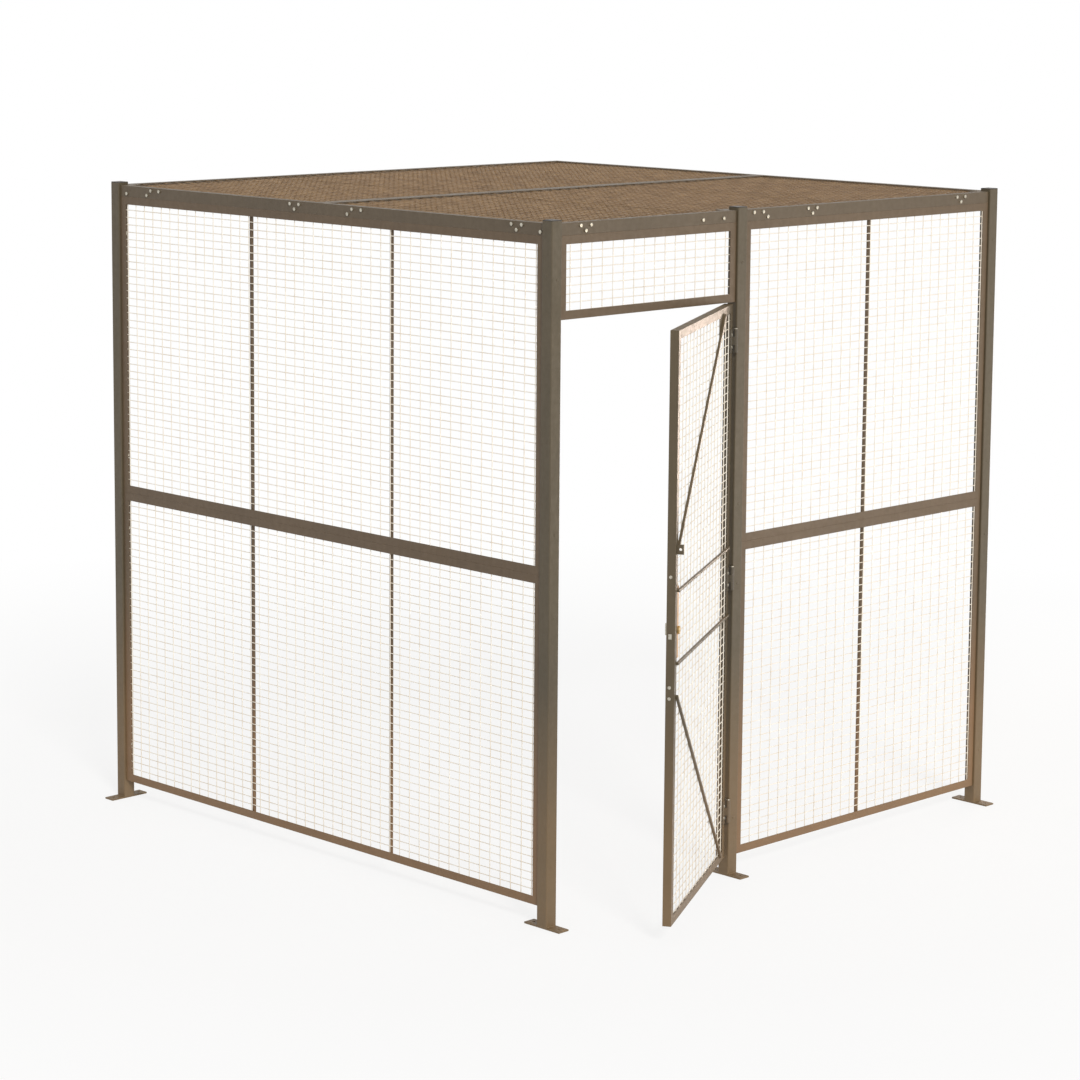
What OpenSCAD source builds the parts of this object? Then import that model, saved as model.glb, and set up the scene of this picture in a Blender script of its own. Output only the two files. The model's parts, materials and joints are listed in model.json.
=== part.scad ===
// Two-wall wire mesh room with a mesh ceiling and one hinged mesh door.
// Origin: centreline of the corner post at the floor. +X along the front wall,
// +Y along the side wall, +Z up. Outside of the room is -X and -Y.

/* [Room] */
// Width of each side-wall panel
side_panel_w = 2438.4; // [1200:0.1:3000]
// Width of each front-wall panel
front_panel_w = 1490; // [600:0.1:2400]
// Clear width between the corner post and the hinge post
door_opening_w = 933.4; // [800:0.1:1200]
// Height of each wall panel, two of them stacked
panel_h = 1219.2; // [1180:0.1:1500]
// Gap between the floor and the lowest panels
floor_gap = 76.2; // [40:0.1:120]

/* [Posts] */
// Side of the square post tube
post_w = 50.8; // [46:0.1:70]
// Wall of the post tube
post_wall = 2; // [1.5:0.1:4]
// Height of the capped post above the wall panels
post_rise = 57.4; // [56:0.1:120]
// Thickness of the post caps
cap_t = 3.2; // [1:0.1:6]
// Depth of a cap's plug inside the tube
cap_plug = 8; // [4:0.5:10]
// Side clearance of a cap's plug in the tube
cap_clear = 0.1; // [0.05:0.05:0.3]
// Length of a base plate
foot_l = 178; // [150:1:260]
// Thickness of a base plate
foot_t = 6.35; // [4:0.05:12]
// Distance between the two anchor holes of a base plate
anchor_pitch = 128; // [90:1:200]
// Radius of an anchor hole
anchor_r = 5.6; // [3:0.1:8]

/* [Panel frames] */
// Leg of the frame angle
leg = 31.75; // [28:0.05:40]
// Thickness of the frame angle
leg_t = 3.2; // [2:0.1:5]
// Seam between two welded angles
seam = 0.1; // [0.05:0.05:0.3]
// Width of a stiffener channel
stiff_w = 14; // [10:0.1:30]
// Depth of a stiffener channel
stiff_d = 9.5; // [6:0.1:12]
// Thickness of a stiffener channel
stiff_t = 2; // [1:0.1:3]

/* [Mesh] */
// Diameter of the mesh wire
wire_d = 3.43; // [2:0.01:4]
// Pitch of the upright wires
pitch_across = 54.8; // [40:0.1:80]
// Pitch of the level wires
pitch_up = 30; // [20:0.1:60]

/* [Ceiling] */
// Height of the ceiling frame's upright leg
ceiling_leg = 44.45; // [40:0.05:50]
// Distance of the ceiling wires' ends from the frame's outer face
wire_inset = 17; // [16:0.5:20]
// Reach of a corner plate past the post
notch_reach = 35; // [20:1:60]
// Length of a clip that holds the ceiling to a wall
clip_l = 84; // [76:1:110]
// Height of a clip
clip_h = 38; // [36:0.5:40]
// Depth of a clip's foot on the wall's top rail
clip_foot = 26; // [22:0.5:28]
// Thickness of a clip
clip_t = 3.2; // [2:0.1:4]
// Distance between a clip's two upper bolts
clip_pitch = 52; // [40:1:60]
// Height of the upper clip bolts above the wall panels
clip_bolt_high = 32.4; // [30:0.1:33]
// Height of the lower clip bolts above the wall panels
clip_bolt_low = 13; // [12:0.1:15]
// Height of the single bolts of the door bay above the wall panels
bay_bolt_high = 18.5; // [12:0.5:25]
// Distance of the first clip on the side wall from the corner post's centre
side_clip_near = 160; // [80:1:300]
// Distance of the second clip on the side wall before the ceiling's joint
side_clip_before = 228.6; // [100:0.1:400]
// Distance of the third clip on the side wall behind the ceiling's joint
side_clip_behind = 128.4; // [60:0.1:200]
// Distance of the last clip on the side wall from the far post's centre
side_clip_far = 254.2; // [140:0.1:320]
// Distance of the clip over the door from the corner post's centre
door_clip_near = 152; // [80:1:300]
// Distance of the first clip on the front wall from the hinge post's centre
front_clip_near = 96.8; // [80:0.1:110]
// Distance of the second clip on the front wall from the hinge post's centre
front_clip_next = 408.8; // [200:0.1:500]
// Distance of the last clip on the front wall from the right post's centre
front_clip_end = 210; // [90:1:300]
// Distance of the first single bolt on the side wall from the corner post
single_bolt_near = 14; // [10:1:30]
// Distance of the last single bolt on the side wall from the far post
single_bolt_far = 45; // [20:1:90]
// Distance of the bay's outer single bolt from the hinge post
bay_bolt_outer = 188; // [120:1:260]
// Distance of the bay's inner single bolt from the hinge post
bay_bolt_inner = 74; // [40:1:90]
// Radius of the holes along the ceiling's free edges
edge_hole_r = 5; // [3:0.1:7]
// Distance between a pair of holes along a free edge
edge_hole_pitch = 900; // [300:10:1000]

/* [Bolts] */
// Diameter of the frame bolts
bolt_d = 7.9; // [5:0.1:9]
// Width across the flats of the heads and nuts
hex_af = 12.7; // [10:0.1:13]
// Height of a bolt head
head_h = 5.3; // [3:0.1:7]
// Height of a nut
nut_h = 6.8; // [4:0.1:7]
// Clearance around a bolt in its hole, on the radius
bolt_clear = 0.4; // [0.1:0.1:0.8]
// Distance of the panel bolts from the panel's ends
bolt_end = 152.4; // [80:0.1:300]
// Distance of the frame bolts behind the frame's outer face
bolt_inset = 18; // [17:0.1:20]
// Distance of the middle rail bolt from a panel's middle
rail_bolt_shift = 60; // [40:1:100]
// Gap between the two bolts that pass each other in the corner post
crossing_gap = 4; // [1:0.5:8]
// Radius of a post plug's head
plug_r = 6.5; // [5.5:0.1:9]
// Height of a post plug's head
plug_h = 1.5; // [0.5:0.1:3]

/* [Door] */
// Height of the door leaf
door_h = 2133.6; // [1900:0.1:2200]
// Gap at the hinge edge
hinge_gap = 9.5; // [8:0.1:14]
// Gap at the lock edge
lock_gap = 9.5; // [9:0.1:14]
// Gap over the door leaf
head_gap = 5.2; // [3:0.1:12]
// Angle that the door stands open
door_rest = 30; // [0:1:90]
// Height of the upper crossbar's centre over the leaf's bottom
bar_high_z = 1212; // [1190:1:1300]
// Height of the lower crossbar's centre over the leaf's bottom
bar_low_z = 951; // [900:1:965]
// Where the upper brace's centreline leaves the top rail, from the hinge edge
brace_high_s = 132; // [100:1:180]
// Where the lower brace's centreline leaves the bottom rail, from the hinge edge
brace_low_s = 60; // [50:1:120]
// Slope of the braces
brace_angle = 45; // [40:1:48]
// Side of the square bars of the crossbars and braces
bar_w = 9.5; // [6:0.1:12]
// How far the ends of those bars lie on the face of the leaf's frame
bar_lap = 10; // [6:0.5:11]
// Length of the gusset along the top rail
gusset_l = 133; // [100:1:180]
// Height of the gusset
gusset_h = 68; // [50:1:110]
// Distance of the gusset from the hinge edge
gusset_s = 90; // [60:1:110]
// Thickness of the gusset
gusset_t = 3; // [2:0.1:3]

/* [Hinges] */
// Height of a hinge
hinge_h = 88.9; // [70:0.1:120]
// Thickness of a hinge leaf
hinge_t = 3; // [2:0.1:3.5]
// Width of the door leaf of a hinge
hinge_plate_w = 38; // [30:0.5:40]
// Depth of the post leaf of a hinge
hinge_post_w = 40; // [34:0.5:48]
// Radius of the hinge barrel
barrel_r = 7.9; // [6.5:0.1:8.4]
// Radius of the hinge pin
pin_r = 4.75; // [3:0.05:5]
// Running clearance of the hinge pin, on the radius
pin_clear = 0.06; // [0.02:0.01:0.1]
// Gap between the barrel and the post's side face
barrel_gap = 0.9; // [0.5:0.1:2]
// Distance of the hinge axis outside the post's front face
axis_out = 4; // [3:0.1:8]
// Gap between two knuckles
knuckle_gap = 0.3; // [0.2:0.05:1]
// Radius of the pin's head
pin_head_r = 7; // [5.5:0.1:8]
// Height of the pin's head
pin_head_h = 3; // [1:0.1:5]
// Height of the lowest hinge's centre over the leaf's bottom
hinge_low = 184; // [120:1:300]
// Distance of the highest hinge's centre below the leaf's top
hinge_high = 138; // [100:1:300]
// Distance between the two bolts of a hinge leaf
hinge_bolt_pitch = 46; // [30:1:60]
// Distance of the door leaf's bolts from the leaf's edge
hinge_bolt_s = 20; // [16:0.5:24]
// Diameter of a hinge bolt
hinge_bolt_d = 6.35; // [4:0.05:7]
// Width across the flats of a hinge bolt's head
hinge_bolt_af = 11; // [8:0.1:12]
// Height of a hinge bolt's head
hinge_head_h = 2.6; // [1.5:0.1:3]

/* [Lock] */
// Height of the lock's spindle over the leaf's bottom
lock_z = 1067; // [1050:1:1090]
// Distance of the lock's spindle from the lock edge
lock_back = 50.4; // [48:0.1:54]
// Width of the lock plate from the lock edge
plate_w = 69.4; // [66:0.1:74]
// Height of the lock plate's lower edge over the leaf's bottom
plate_low = 965; // [940:1:975]
// Height of the lock plate's straight side
plate_h = 257; // [220:1:280]
// Height of the lock plate's slanted top
plate_slant = 66; // [30:1:80]
// Width of the lock plate's cut corner
plate_corner = 12; // [4:1:20]
// Thickness of the lock plate
plate_t = 3.2; // [2:0.1:3.4]
// Height of the lock case
case_h = 173; // [150:1:176]
// Depth of the lock case
case_d = 23.6; // [22:0.1:25]
// Wall of the lock case
case_t = 2; // [1:0.1:2.2]
// Radius of the lock cylinder's collar
collar_r = 14.5; // [13:0.1:15]
// Height of the lock cylinder's collar over the lock plate
collar_h = 9; // [3:0.5:12]
// Radius of the lock cylinder's body
cylinder_r = 12; // [9:0.1:12.5]
// Length of the lock cylinder's body behind the lock plate
cylinder_tail = 3.4; // [2:0.1:3.6]
// Radius of the key plug
key_r = 6.3; // [5:0.1:8]
// Running clearance of the key plug and the spindle, on the radius
key_clear = 0.06; // [0.02:0.01:0.1]
// Width of the key slot
key_slot_w = 1.6; // [1:0.1:3]
// Height of the key slot
key_slot_h = 7.5; // [4:0.1:9]
// Depth of the key slot
key_slot_d = 6; // [2:0.5:10]
// Radius of the spindle
spindle_r = 4; // [3:0.1:5]
// Travel of the lock bolt
throw = 19; // [14:0.5:20]
// Height of the lock bolt
bolt_h = 19; // [16:0.5:22]
// Thickness of the lock bolt
bolt_t = 12.7; // [10:0.1:13]
// Distance of the lock bolt's top below the spindle's axis
bolt_drop = 7; // [5.5:0.1:7.5]
// Clearance around the lock bolt in its slots
slot_clear = 0.3; // [0.1:0.05:0.6]
// Distance of the lock bolt behind the frame's outer face
bolt_in = 12; // [11:0.1:12.3]
// Radius of the crank pin
crank_pin_r = 2.5; // [1.5:0.1:3]
// Side clearance of the crank pin in the lock bolt
crank_clear = 0.8; // [0.7:0.1:1.2]
// Thickness of the crank
crank_t = 1.8; // [1:0.1:2]
// Radius of the crank's hub
crank_hub_r = 7; // [5:0.1:9]
// Width of the crank's arm
crank_web = 6; // [5:0.1:7]
// Step from the crank's hub down to its arm
crank_step = 0.2; // [0.1:0.1:0.4]
// Radius of the crank's tip
crank_tip_r = 3.7; // [3.1:0.1:4.5]
// Length of the thumb turn
turn_l = 42; // [25:1:60]
// Width of the thumb turn
turn_w = 9; // [6:0.5:14]
// Height of the thumb turn
turn_h = 14; // [8:0.5:20]
// Distance of the upper bolt in the lock stile's edge above the spindle
edge_bolt_up = 197; // [180:1:260]
// Distance of the middle bolt in the lock stile's edge below the spindle
edge_bolt_down = 199; // [120:1:210]
// Distance of the lowest bolt in the lock stile's edge below the spindle
edge_bolt_low = 239; // [225:1:260]
// Height of the padlock lug's centre over the leaf's bottom
lug_z = 1362; // [1330:1:1400]
// Height of the padlock lug
lug_h = 35; // [25:1:50]
// Reach of the padlock lug out of the frame
lug_out = 25.4; // [20:0.1:40]
// Thickness of the padlock lug
lug_t = 6.35; // [4:0.05:8]
// Distance of the padlock lug from the lock edge
lug_back = 12; // [4:0.5:20]
// Radius of the padlock lug's hole
lug_hole_r = 5.25; // [3:0.05:7]
// Height of the strike plate
strike_h = 70; // [60:1:90]
// Width of the strike plate
strike_w = 30; // [24:0.5:40]
// Thickness of the strike plate
strike_t = 2; // [1:0.1:2.5]
// Radius of the strike plate's screws
screw_r = 2; // [1.5:0.1:2.5]
// Height of the screws' heads
screw_head_h = 1.2; // [0.8:0.1:2]
// Radius of the screws' heads
screw_head_r = 4; // [3:0.1:4.5]
// Radius of the door bumper
bumper_r = 9.5; // [6:0.5:12]
// Height of the door bumper
bumper_h = 7.5; // [4:0.1:8]
// Height of the door bumper's centre over the floor
bumper_z = 820; // [500:1:900]

/* [Hidden] */
$fn = 48;
far = 0.01;
wall_h = 2 * panel_h;
wall_top = floor_gap + wall_h;
post_top = wall_top + post_rise;
half_post = post_w / 2;
half_leg = leg / 2;
hinge_x = door_opening_w + post_w;
right_x = hinge_x + post_w + front_panel_w;
far_y = post_w + side_panel_w;
jamb_x = half_post;
hinge_face_x = hinge_x - half_post;
front_panel_x = hinge_x + half_post;
mesh_in = leg_t;
mesh_back = mesh_in + 2 * wire_d;
bolt_r = bolt_d / 2;
hex_r = hex_af / sqrt(3);
hole_r = bolt_r + bolt_clear;

door_w = door_opening_w - hinge_gap - lock_gap;
door_edge_x = hinge_face_x - hinge_gap;
header_z = floor_gap + door_h + head_gap;
transom_h = wall_top - header_z;
axis_x = hinge_face_x - barrel_gap - barrel_r;
axis_y = -half_post - axis_out;
axis_s = door_edge_x - axis_x;
axis_w = axis_y + half_leg;
hinge_zs = [hinge_low, (hinge_low + door_h - hinge_high) / 2, door_h - hinge_high];
knuckle_h = (hinge_h - 2 * knuckle_gap) / 3;

ceiling_z = wall_top;
ceiling_top = ceiling_z + ceiling_leg;
ceiling_split_y = far_y / 2;
ceiling_right_x = right_x + half_post;
ceiling_back_y = far_y + half_post;
post_spots = [[0, 0], [0, far_y], [hinge_x, 0], [right_x, 0]];

panel_bolt_zs = [bolt_end, panel_h - bolt_end];
wall_bolt_zs = [for (row = [0, 1], z = panel_bolt_zs) floor_gap + row * panel_h + z];
transom_bolt_z = wall_top - bolt_end;
corner_bolt_z = transom_bolt_z + bolt_d + crossing_gap;

lock_s = door_w - lock_back;
plate_s = door_w - plate_w;
plate_back = leg_t + plate_t;
case_s = plate_s + 2;
case_low = lock_z - case_h / 2;
case_back = plate_back + case_d;
bolt_top = lock_z - bolt_drop;
bolt_low = bolt_top - bolt_h;
bolt_tail_s = case_s + case_t + 0.6;
bolt_tip_s = door_w - 0.5;
crank_r = throw / 2 / sin(45);
crank_slot_w = 2 * (crank_pin_r + crank_clear);
bolt_back = bolt_in + bolt_t;
crank_w = bolt_back + 0.5;
bolt_y = -half_leg + bolt_in;
bolt_mid_z = floor_gap + (bolt_top + bolt_low) / 2;

paint = [0.40, 0.37, 0.33];
zinc = [0.72, 0.71, 0.66];
wire_paint = [0.62, 0.58, 0.48];
black = [0.12, 0.12, 0.12];
brass = [0.70, 0.60, 0.38];

// ---- Shared shapes ------------------------------------------------------

// Puts a shape drawn for the front wall on the side wall.
module on_side_wall() {
    mirror([1, -1, 0]) children();
}

// A panel's frame starts at its lower left outer corner: x across, y inwards, z up.
module at_panel(x, z) {
    translate([x, -half_leg, z]) children();
}

// The leaf's frame: x from the hinge edge, y from the outer face inwards, z from its bottom.
module at_door() {
    translate([axis_x, axis_y, floor_gap])
        rotate([0, 0, door_rest])
            translate([axis_s, -axis_w, 0])
                mirror([1, 0, 0]) children();
}

// A cylinder along +X.
module rod_x(r, length) {
    rotate([0, 90, 0]) cylinder(r = r, h = length);
}

// A cylinder along +Y.
module rod_y(r, length) {
    rotate([-90, 0, 0]) cylinder(r = r, h = length);
}

// A hex bolt whose seat is at z = 0 and whose shank runs down.
module bolt(shank) {
    cylinder(r = hex_r, h = head_h, $fn = 6);
    translate([0, 0, -shank]) cylinder(r = bolt_r, h = shank + far);
}

// A hex nut that stands on z = 0.
module nut() {
    difference() {
        cylinder(r = hex_r, h = nut_h, $fn = 6);
        translate([0, 0, -1]) cylinder(r = bolt_r + bolt_clear / 4, h = nut_h + 2);
    }
}

// One mitred angle of a frame, with its face leg on y = 0 and its web on z = 0.
// Its ends stand back by a gap from the mitre planes.
module mitred_angle(length, gap) {
    intersection() {
        union() {
            cube([length, leg_t, leg]);
            cube([length, leg, leg_t]);
        }
        translate([0, leg + 1, 0])
            rotate([90, 0, 0])
                linear_extrude(leg + 2)
                    polygon([[gap, 0], [length - gap, 0],
                             [length - leg - gap, leg], [leg + gap, leg]]);
    }
}

// The four mitred angles of a panel's frame.
module angle_frame(w, h) {
    mitred_angle(w, seam);
    translate([0, 0, h]) mirror([0, 0, 1]) mitred_angle(w, seam);
    mirror([1, 0, -1]) mitred_angle(h, 0);
    translate([w, 0, 0]) mirror([1, 0, 0]) mirror([1, 0, -1]) mitred_angle(h, 0);
}

function wire_count(length, pitch) = floor((length - 2 * leg_t - wire_d) / pitch);
function wire_at(length, pitch, i) = (length - (wire_count(length, pitch) - 1) * pitch) / 2 + i * pitch;

// The upright wires, behind the frame's face legs.
module upright_wires(w, h) {
    for (i = [0 : wire_count(w, pitch_across) - 1])
        translate([wire_at(w, pitch_across, i), mesh_in + wire_d / 2, leg_t])
            cylinder(d = wire_d, h = h - 2 * leg_t);
}

// The level wires, behind the upright ones.
module level_wires(w, h) {
    for (i = [0 : wire_count(h, pitch_up) - 1])
        translate([leg_t, mesh_in + 1.5 * wire_d, wire_at(h, pitch_up, i)])
            rod_x(wire_d / 2, w - 2 * leg_t);
}

module wire_mesh(w, h) {
    upright_wires(w, h);
    level_wires(w, h);
}

// A channel along +X with its web on y = 0, centred on z = 0.
module channel(length) {
    difference() {
        translate([0, 0, -stiff_w / 2]) cube([length, stiff_d, stiff_w]);
        translate([-1, stiff_t, -stiff_w / 2 + stiff_t])
            cube([length + 2, stiff_d, stiff_w - 2 * stiff_t]);
    }
}

// A square bar along +X with one face on y = 0, centred on z = 0.
module square_bar(length) {
    translate([0, 0, -bar_w / 2]) cube([length, bar_w, bar_w]);
}

// An upright stiffener behind the mesh, centred on x.
module stiffener(x, h) {
    translate([x, mesh_back, leg_t])
        rotate([0, -90, 0]) channel(h - 2 * leg_t);
}

// ---- Walls --------------------------------------------------------------

// Holes along +X through both ends of a panel's frame, for the bolts to the posts.
module stile_holes(w, zs) {
    for (z = zs)
        translate([-1, bolt_inset, z]) rod_x(hole_r, w + 2);
}

// Places of the bolts that join the upper and lower panel.
function rail_bolt_xs(w) = [w / 6, w / 2 - rail_bolt_shift, w * 5 / 6];

module rail_holes(w, z) {
    for (x = rail_bolt_xs(w))
        translate([x, bolt_inset, z - leg_t - 1]) cylinder(r = hole_r, h = 2 * leg_t + 2);
}

// Places of the bolts in the clips' feet, in the top rail.
module foot_holes(xs, x0, h) {
    for (x = xs)
        translate([x - x0, clip_foot_in, h - leg_t - 1]) cylinder(r = hole_r, h = leg_t + 2);
}

module wall_frame(w, lower, foot_xs, x0) {
    difference() {
        angle_frame(w, panel_h);
        stile_holes(w, panel_bolt_zs);
        rail_holes(w, lower ? panel_h : 0);
        if (!lower) foot_holes(foot_xs, x0, panel_h);
    }
}

module left_frame(row) {
    on_side_wall()
        at_panel(half_post, floor_gap + row * panel_h)
            wall_frame(side_panel_w, row == 0, side_foot_ys, half_post);
}

module front_frame(row) {
    at_panel(front_panel_x, floor_gap + row * panel_h)
        wall_frame(front_panel_w, row == 0, front_foot_xs, front_panel_x);
}

module left_lower_frame() { color(paint) left_frame(0); }
module left_upper_frame() { color(paint) left_frame(1); }
module front_lower_frame() { color(paint) front_frame(0); }
module front_upper_frame() { color(paint) front_frame(1); }

module left_mesh(row) {
    on_side_wall()
        at_panel(half_post, floor_gap + row * panel_h) wire_mesh(side_panel_w, panel_h);
}

module front_mesh(row) {
    at_panel(front_panel_x, floor_gap + row * panel_h) wire_mesh(front_panel_w, panel_h);
}

module left_lower_mesh() { color(wire_paint) left_mesh(0); }
module left_upper_mesh() { color(wire_paint) left_mesh(1); }
module front_lower_mesh() { color(wire_paint) front_mesh(0); }
module front_upper_mesh() { color(wire_paint) front_mesh(1); }

module left_stiffeners(row) {
    on_side_wall()
        at_panel(half_post, floor_gap + row * panel_h)
            for (third = [1, 2]) stiffener(side_panel_w * third / 3, panel_h);
}

module front_stiffener(row) {
    at_panel(front_panel_x, floor_gap + row * panel_h)
        stiffener(front_panel_w / 2, panel_h);
}

module left_lower_stiffeners() { color(paint) left_stiffeners(0); }
module left_upper_stiffeners() { color(paint) left_stiffeners(1); }
module front_lower_stiffener() { color(paint) front_stiffener(0); }
module front_upper_stiffener() { color(paint) front_stiffener(1); }

module transom_frame() {
    color(paint) at_panel(jamb_x, header_z) difference() {
        angle_frame(door_opening_w, transom_h);
        translate([-1, bolt_inset, corner_bolt_z - header_z]) rod_x(hole_r, leg + 1);
        translate([door_opening_w - leg, bolt_inset, transom_bolt_z - header_z])
            rod_x(hole_r, leg + 1);
        foot_holes(bay_foot_xs, jamb_x, transom_h);
    }
}

module transom_mesh() {
    color(wire_paint) at_panel(jamb_x, header_z) wire_mesh(door_opening_w, transom_h);
}

// ---- Posts --------------------------------------------------------------

module post_tube(spot) {
    translate([spot[0] - half_post, spot[1] - half_post, foot_t]) difference() {
        cube([post_w, post_w, post_top - cap_t - foot_t]);
        translate([post_wall, post_wall, -1])
            cube([post_w - 2 * post_wall, post_w - 2 * post_wall, post_top]);
    }
}

// Bolt holes along X at bolt_inset behind the front wall's outer face.
module holes_x(x, zs) {
    for (z = zs)
        translate([x, bolt_inset - half_leg, z]) rod_x(hole_r, post_wall + 2);
}

module drill_left(spot, zs) {
    holes_x(spot[0] - half_post - 1, zs);
}

module drill_right(spot, zs) {
    holes_x(spot[0] + half_post - post_wall - 1, zs);
}

module drill_front(spot, zs) {
    for (z = zs)
        translate([spot[0] + bolt_inset - half_leg, spot[1] - half_post - 1, z])
            rod_y(hole_r, post_wall + 2);
}

module drill_back(spot, zs) {
    translate([0, post_w - post_wall, 0]) drill_front(spot, zs);
}

module post_corner() {
    color(paint) difference() {
        post_tube(post_spots[0]);
        drill_back(post_spots[0], wall_bolt_zs);
        drill_front(post_spots[0], wall_bolt_zs);
        drill_left(post_spots[0], [corner_bolt_z]);
        drill_right(post_spots[0], [corner_bolt_z]);
        strike_slot(jamb_x - post_wall - 1, post_wall + 2);
        strike_holes(jamb_x - post_wall - 1, post_wall + 2);
        translate([jamb_x - post_wall - 1, bumper_y, bumper_z])
            rod_x(screw_r, post_wall + 2);
    }
}

module post_far_left() {
    color(paint) difference() {
        post_tube(post_spots[1]);
        drill_front(post_spots[1], wall_bolt_zs);
    }
}

module post_hinge() {
    color(paint) difference() {
        post_tube(post_spots[2]);
        drill_right(post_spots[2], wall_bolt_zs);
        drill_left(post_spots[2], [transom_bolt_z]);
        drill_front(post_spots[2], wall_bolt_zs);
        hinge_post_holes();
    }
}

module post_right() {
    color(paint) difference() {
        post_tube(post_spots[3]);
        drill_left(post_spots[3], wall_bolt_zs);
        drill_front(post_spots[3], wall_bolt_zs);
    }
}

// A base plate that runs along Y, with its two anchor holes.
module base_plate(spot, along_x) {
    color(paint) translate([spot[0], spot[1], 0])
        rotate([0, 0, along_x ? 90 : 0]) difference() {
            translate([-half_post, -foot_l / 2, 0]) cube([post_w, foot_l, foot_t]);
            for (side = [-1, 1])
                translate([0, side * anchor_pitch / 2, -1]) cylinder(r = anchor_r, h = foot_t + 2);
        }
}

module base_plate_corner() { base_plate(post_spots[0], false); }
module base_plate_far_left() { base_plate(post_spots[1], true); }
module base_plate_hinge() { base_plate(post_spots[2], false); }
module base_plate_right() { base_plate(post_spots[3], false); }

module post_caps() {
    plug_w = post_w - 2 * post_wall - 2 * cap_clear;
    color(black) for (spot = post_spots)
        translate([spot[0], spot[1], post_top - cap_t]) {
            translate([-half_post, -half_post, 0]) cube([post_w, post_w, cap_t]);
            translate([-plug_w / 2, -plug_w / 2, -cap_plug]) cube([plug_w, plug_w, cap_plug + far]);
        }
}

// A push-in plug in a front hole of a post, with its head outside.
module post_plug() {
    stem_r = hole_r - cap_clear;
    translate([0, -plug_h, 0]) rod_y(plug_r, plug_h);
    rod_y(stem_r, post_wall + 2);
}

module post_plugs() {
    color(paint) {
        for (spot = [post_spots[0], post_spots[2], post_spots[3]], z = wall_bolt_zs)
            translate([spot[0] + bolt_inset - half_leg, spot[1] - half_post, z]) post_plug();
        on_side_wall()
            translate([bolt_inset - half_leg, -half_post, corner_bolt_z]) post_plug();
    }
}

// ---- Panel and rail fasteners --------------------------------------------

// Turns a bolt drawn along Z so that its shank runs towards -X.
module towards_minus_x() {
    rotate([0, 90, 0]) children();
}

// A bolt in a stile's web and the post wall left of it, seen from the panel.
module stile_bolt_left(x, z) {
    translate([x + leg_t, bolt_inset - half_leg, z])
        towards_minus_x() bolt(leg_t + post_wall + nut_h + 1);
}

module stile_nut_left(x, z) {
    translate([x - post_wall, bolt_inset - half_leg, z])
        rotate([0, -90, 0]) nut();
}

module stile_bolt_right(x, z) {
    translate([2 * x, 0, 0]) mirror([1, 0, 0]) stile_bolt_left(x, z);
}

module stile_nut_right(x, z) {
    translate([2 * x, 0, 0]) mirror([1, 0, 0]) stile_nut_left(x, z);
}

module panel_bolts() {
    color(zinc) {
        for (z = wall_bolt_zs) {
            on_side_wall() stile_bolt_left(half_post, z);
            on_side_wall() stile_bolt_right(far_y - half_post, z);
            stile_bolt_left(front_panel_x, z);
            stile_bolt_right(right_x - half_post, z);
        }
        stile_bolt_left(jamb_x, corner_bolt_z);
        stile_bolt_right(hinge_face_x, transom_bolt_z);
    }
}

module panel_nuts() {
    color(zinc) {
        for (z = wall_bolt_zs) {
            on_side_wall() stile_nut_left(half_post, z);
            on_side_wall() stile_nut_right(far_y - half_post, z);
            stile_nut_left(front_panel_x, z);
            stile_nut_right(right_x - half_post, z);
        }
        stile_nut_left(jamb_x, corner_bolt_z);
        stile_nut_right(hinge_face_x, transom_bolt_z);
    }
}

module rail_spots(w, x0) {
    for (x = rail_bolt_xs(w))
        translate([x0 + x, bolt_inset - half_leg, floor_gap + panel_h]) children();
}

module ceiling_joint_spots() {
    for (x = rail_bolt_xs(right_x))
        translate([x, ceiling_split_y, ceiling_z + ceiling_leg / 2]) rotate([-90, 0, 0]) children();
}

module rail_bolt() {
    translate([0, 0, leg_t]) bolt(2 * leg_t + nut_h + 2);
}

module rail_nut() {
    translate([0, 0, -leg_t]) mirror([0, 0, 1]) nut();
}

module rail_bolts() {
    color(zinc) {
        on_side_wall() rail_spots(side_panel_w, half_post) rail_bolt();
        rail_spots(front_panel_w, front_panel_x) rail_bolt();
        ceiling_joint_spots() rail_bolt();
    }
}

module rail_nuts() {
    color(zinc) {
        on_side_wall() rail_spots(side_panel_w, half_post) rail_nut();
        rail_spots(front_panel_w, front_panel_x) rail_nut();
        ceiling_joint_spots() rail_nut();
    }
}

// ---- Ceiling --------------------------------------------------------------

// A straight ceiling angle along +X: upright leg on y = 0, level leg at the top.
// Its level leg starts and ends short where another angle meets it.
module ceiling_angle(length, short_start, short_end) {
    cube([length, leg_t, ceiling_leg]);
    translate([short_start, 0, ceiling_leg - leg_t])
        cube([length - short_start - short_end, leg, leg_t]);
}

module ceiling_angle_x(x0, x1, y, inwards, short_start = 0, short_end = 0) {
    translate([x0, y, ceiling_z])
        mirror([0, inwards > 0 ? 0 : 1, 0]) ceiling_angle(x1 - x0, short_start, short_end);
}

module ceiling_angle_y(y0, y1, x, inwards, short_start = 0, short_end = 0) {
    mirror([1, -1, 0]) ceiling_angle_x(y0, y1, x, inwards, short_start, short_end);
}

// A plate in the level legs' plane that leads round a post.
module notch_plate(x0, y0, x1, y1) {
    difference() {
        translate([x0 + seam, y0 + seam, ceiling_top - leg_t])
            cube([x1 - x0 - 2 * seam, y1 - y0 - 2 * seam, leg_t]);
        for (spot = post_spots)
            translate([spot[0] - half_post, spot[1] - half_post, 0])
                cube([post_w, post_w, post_top + 1]);
    }
}

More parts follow.
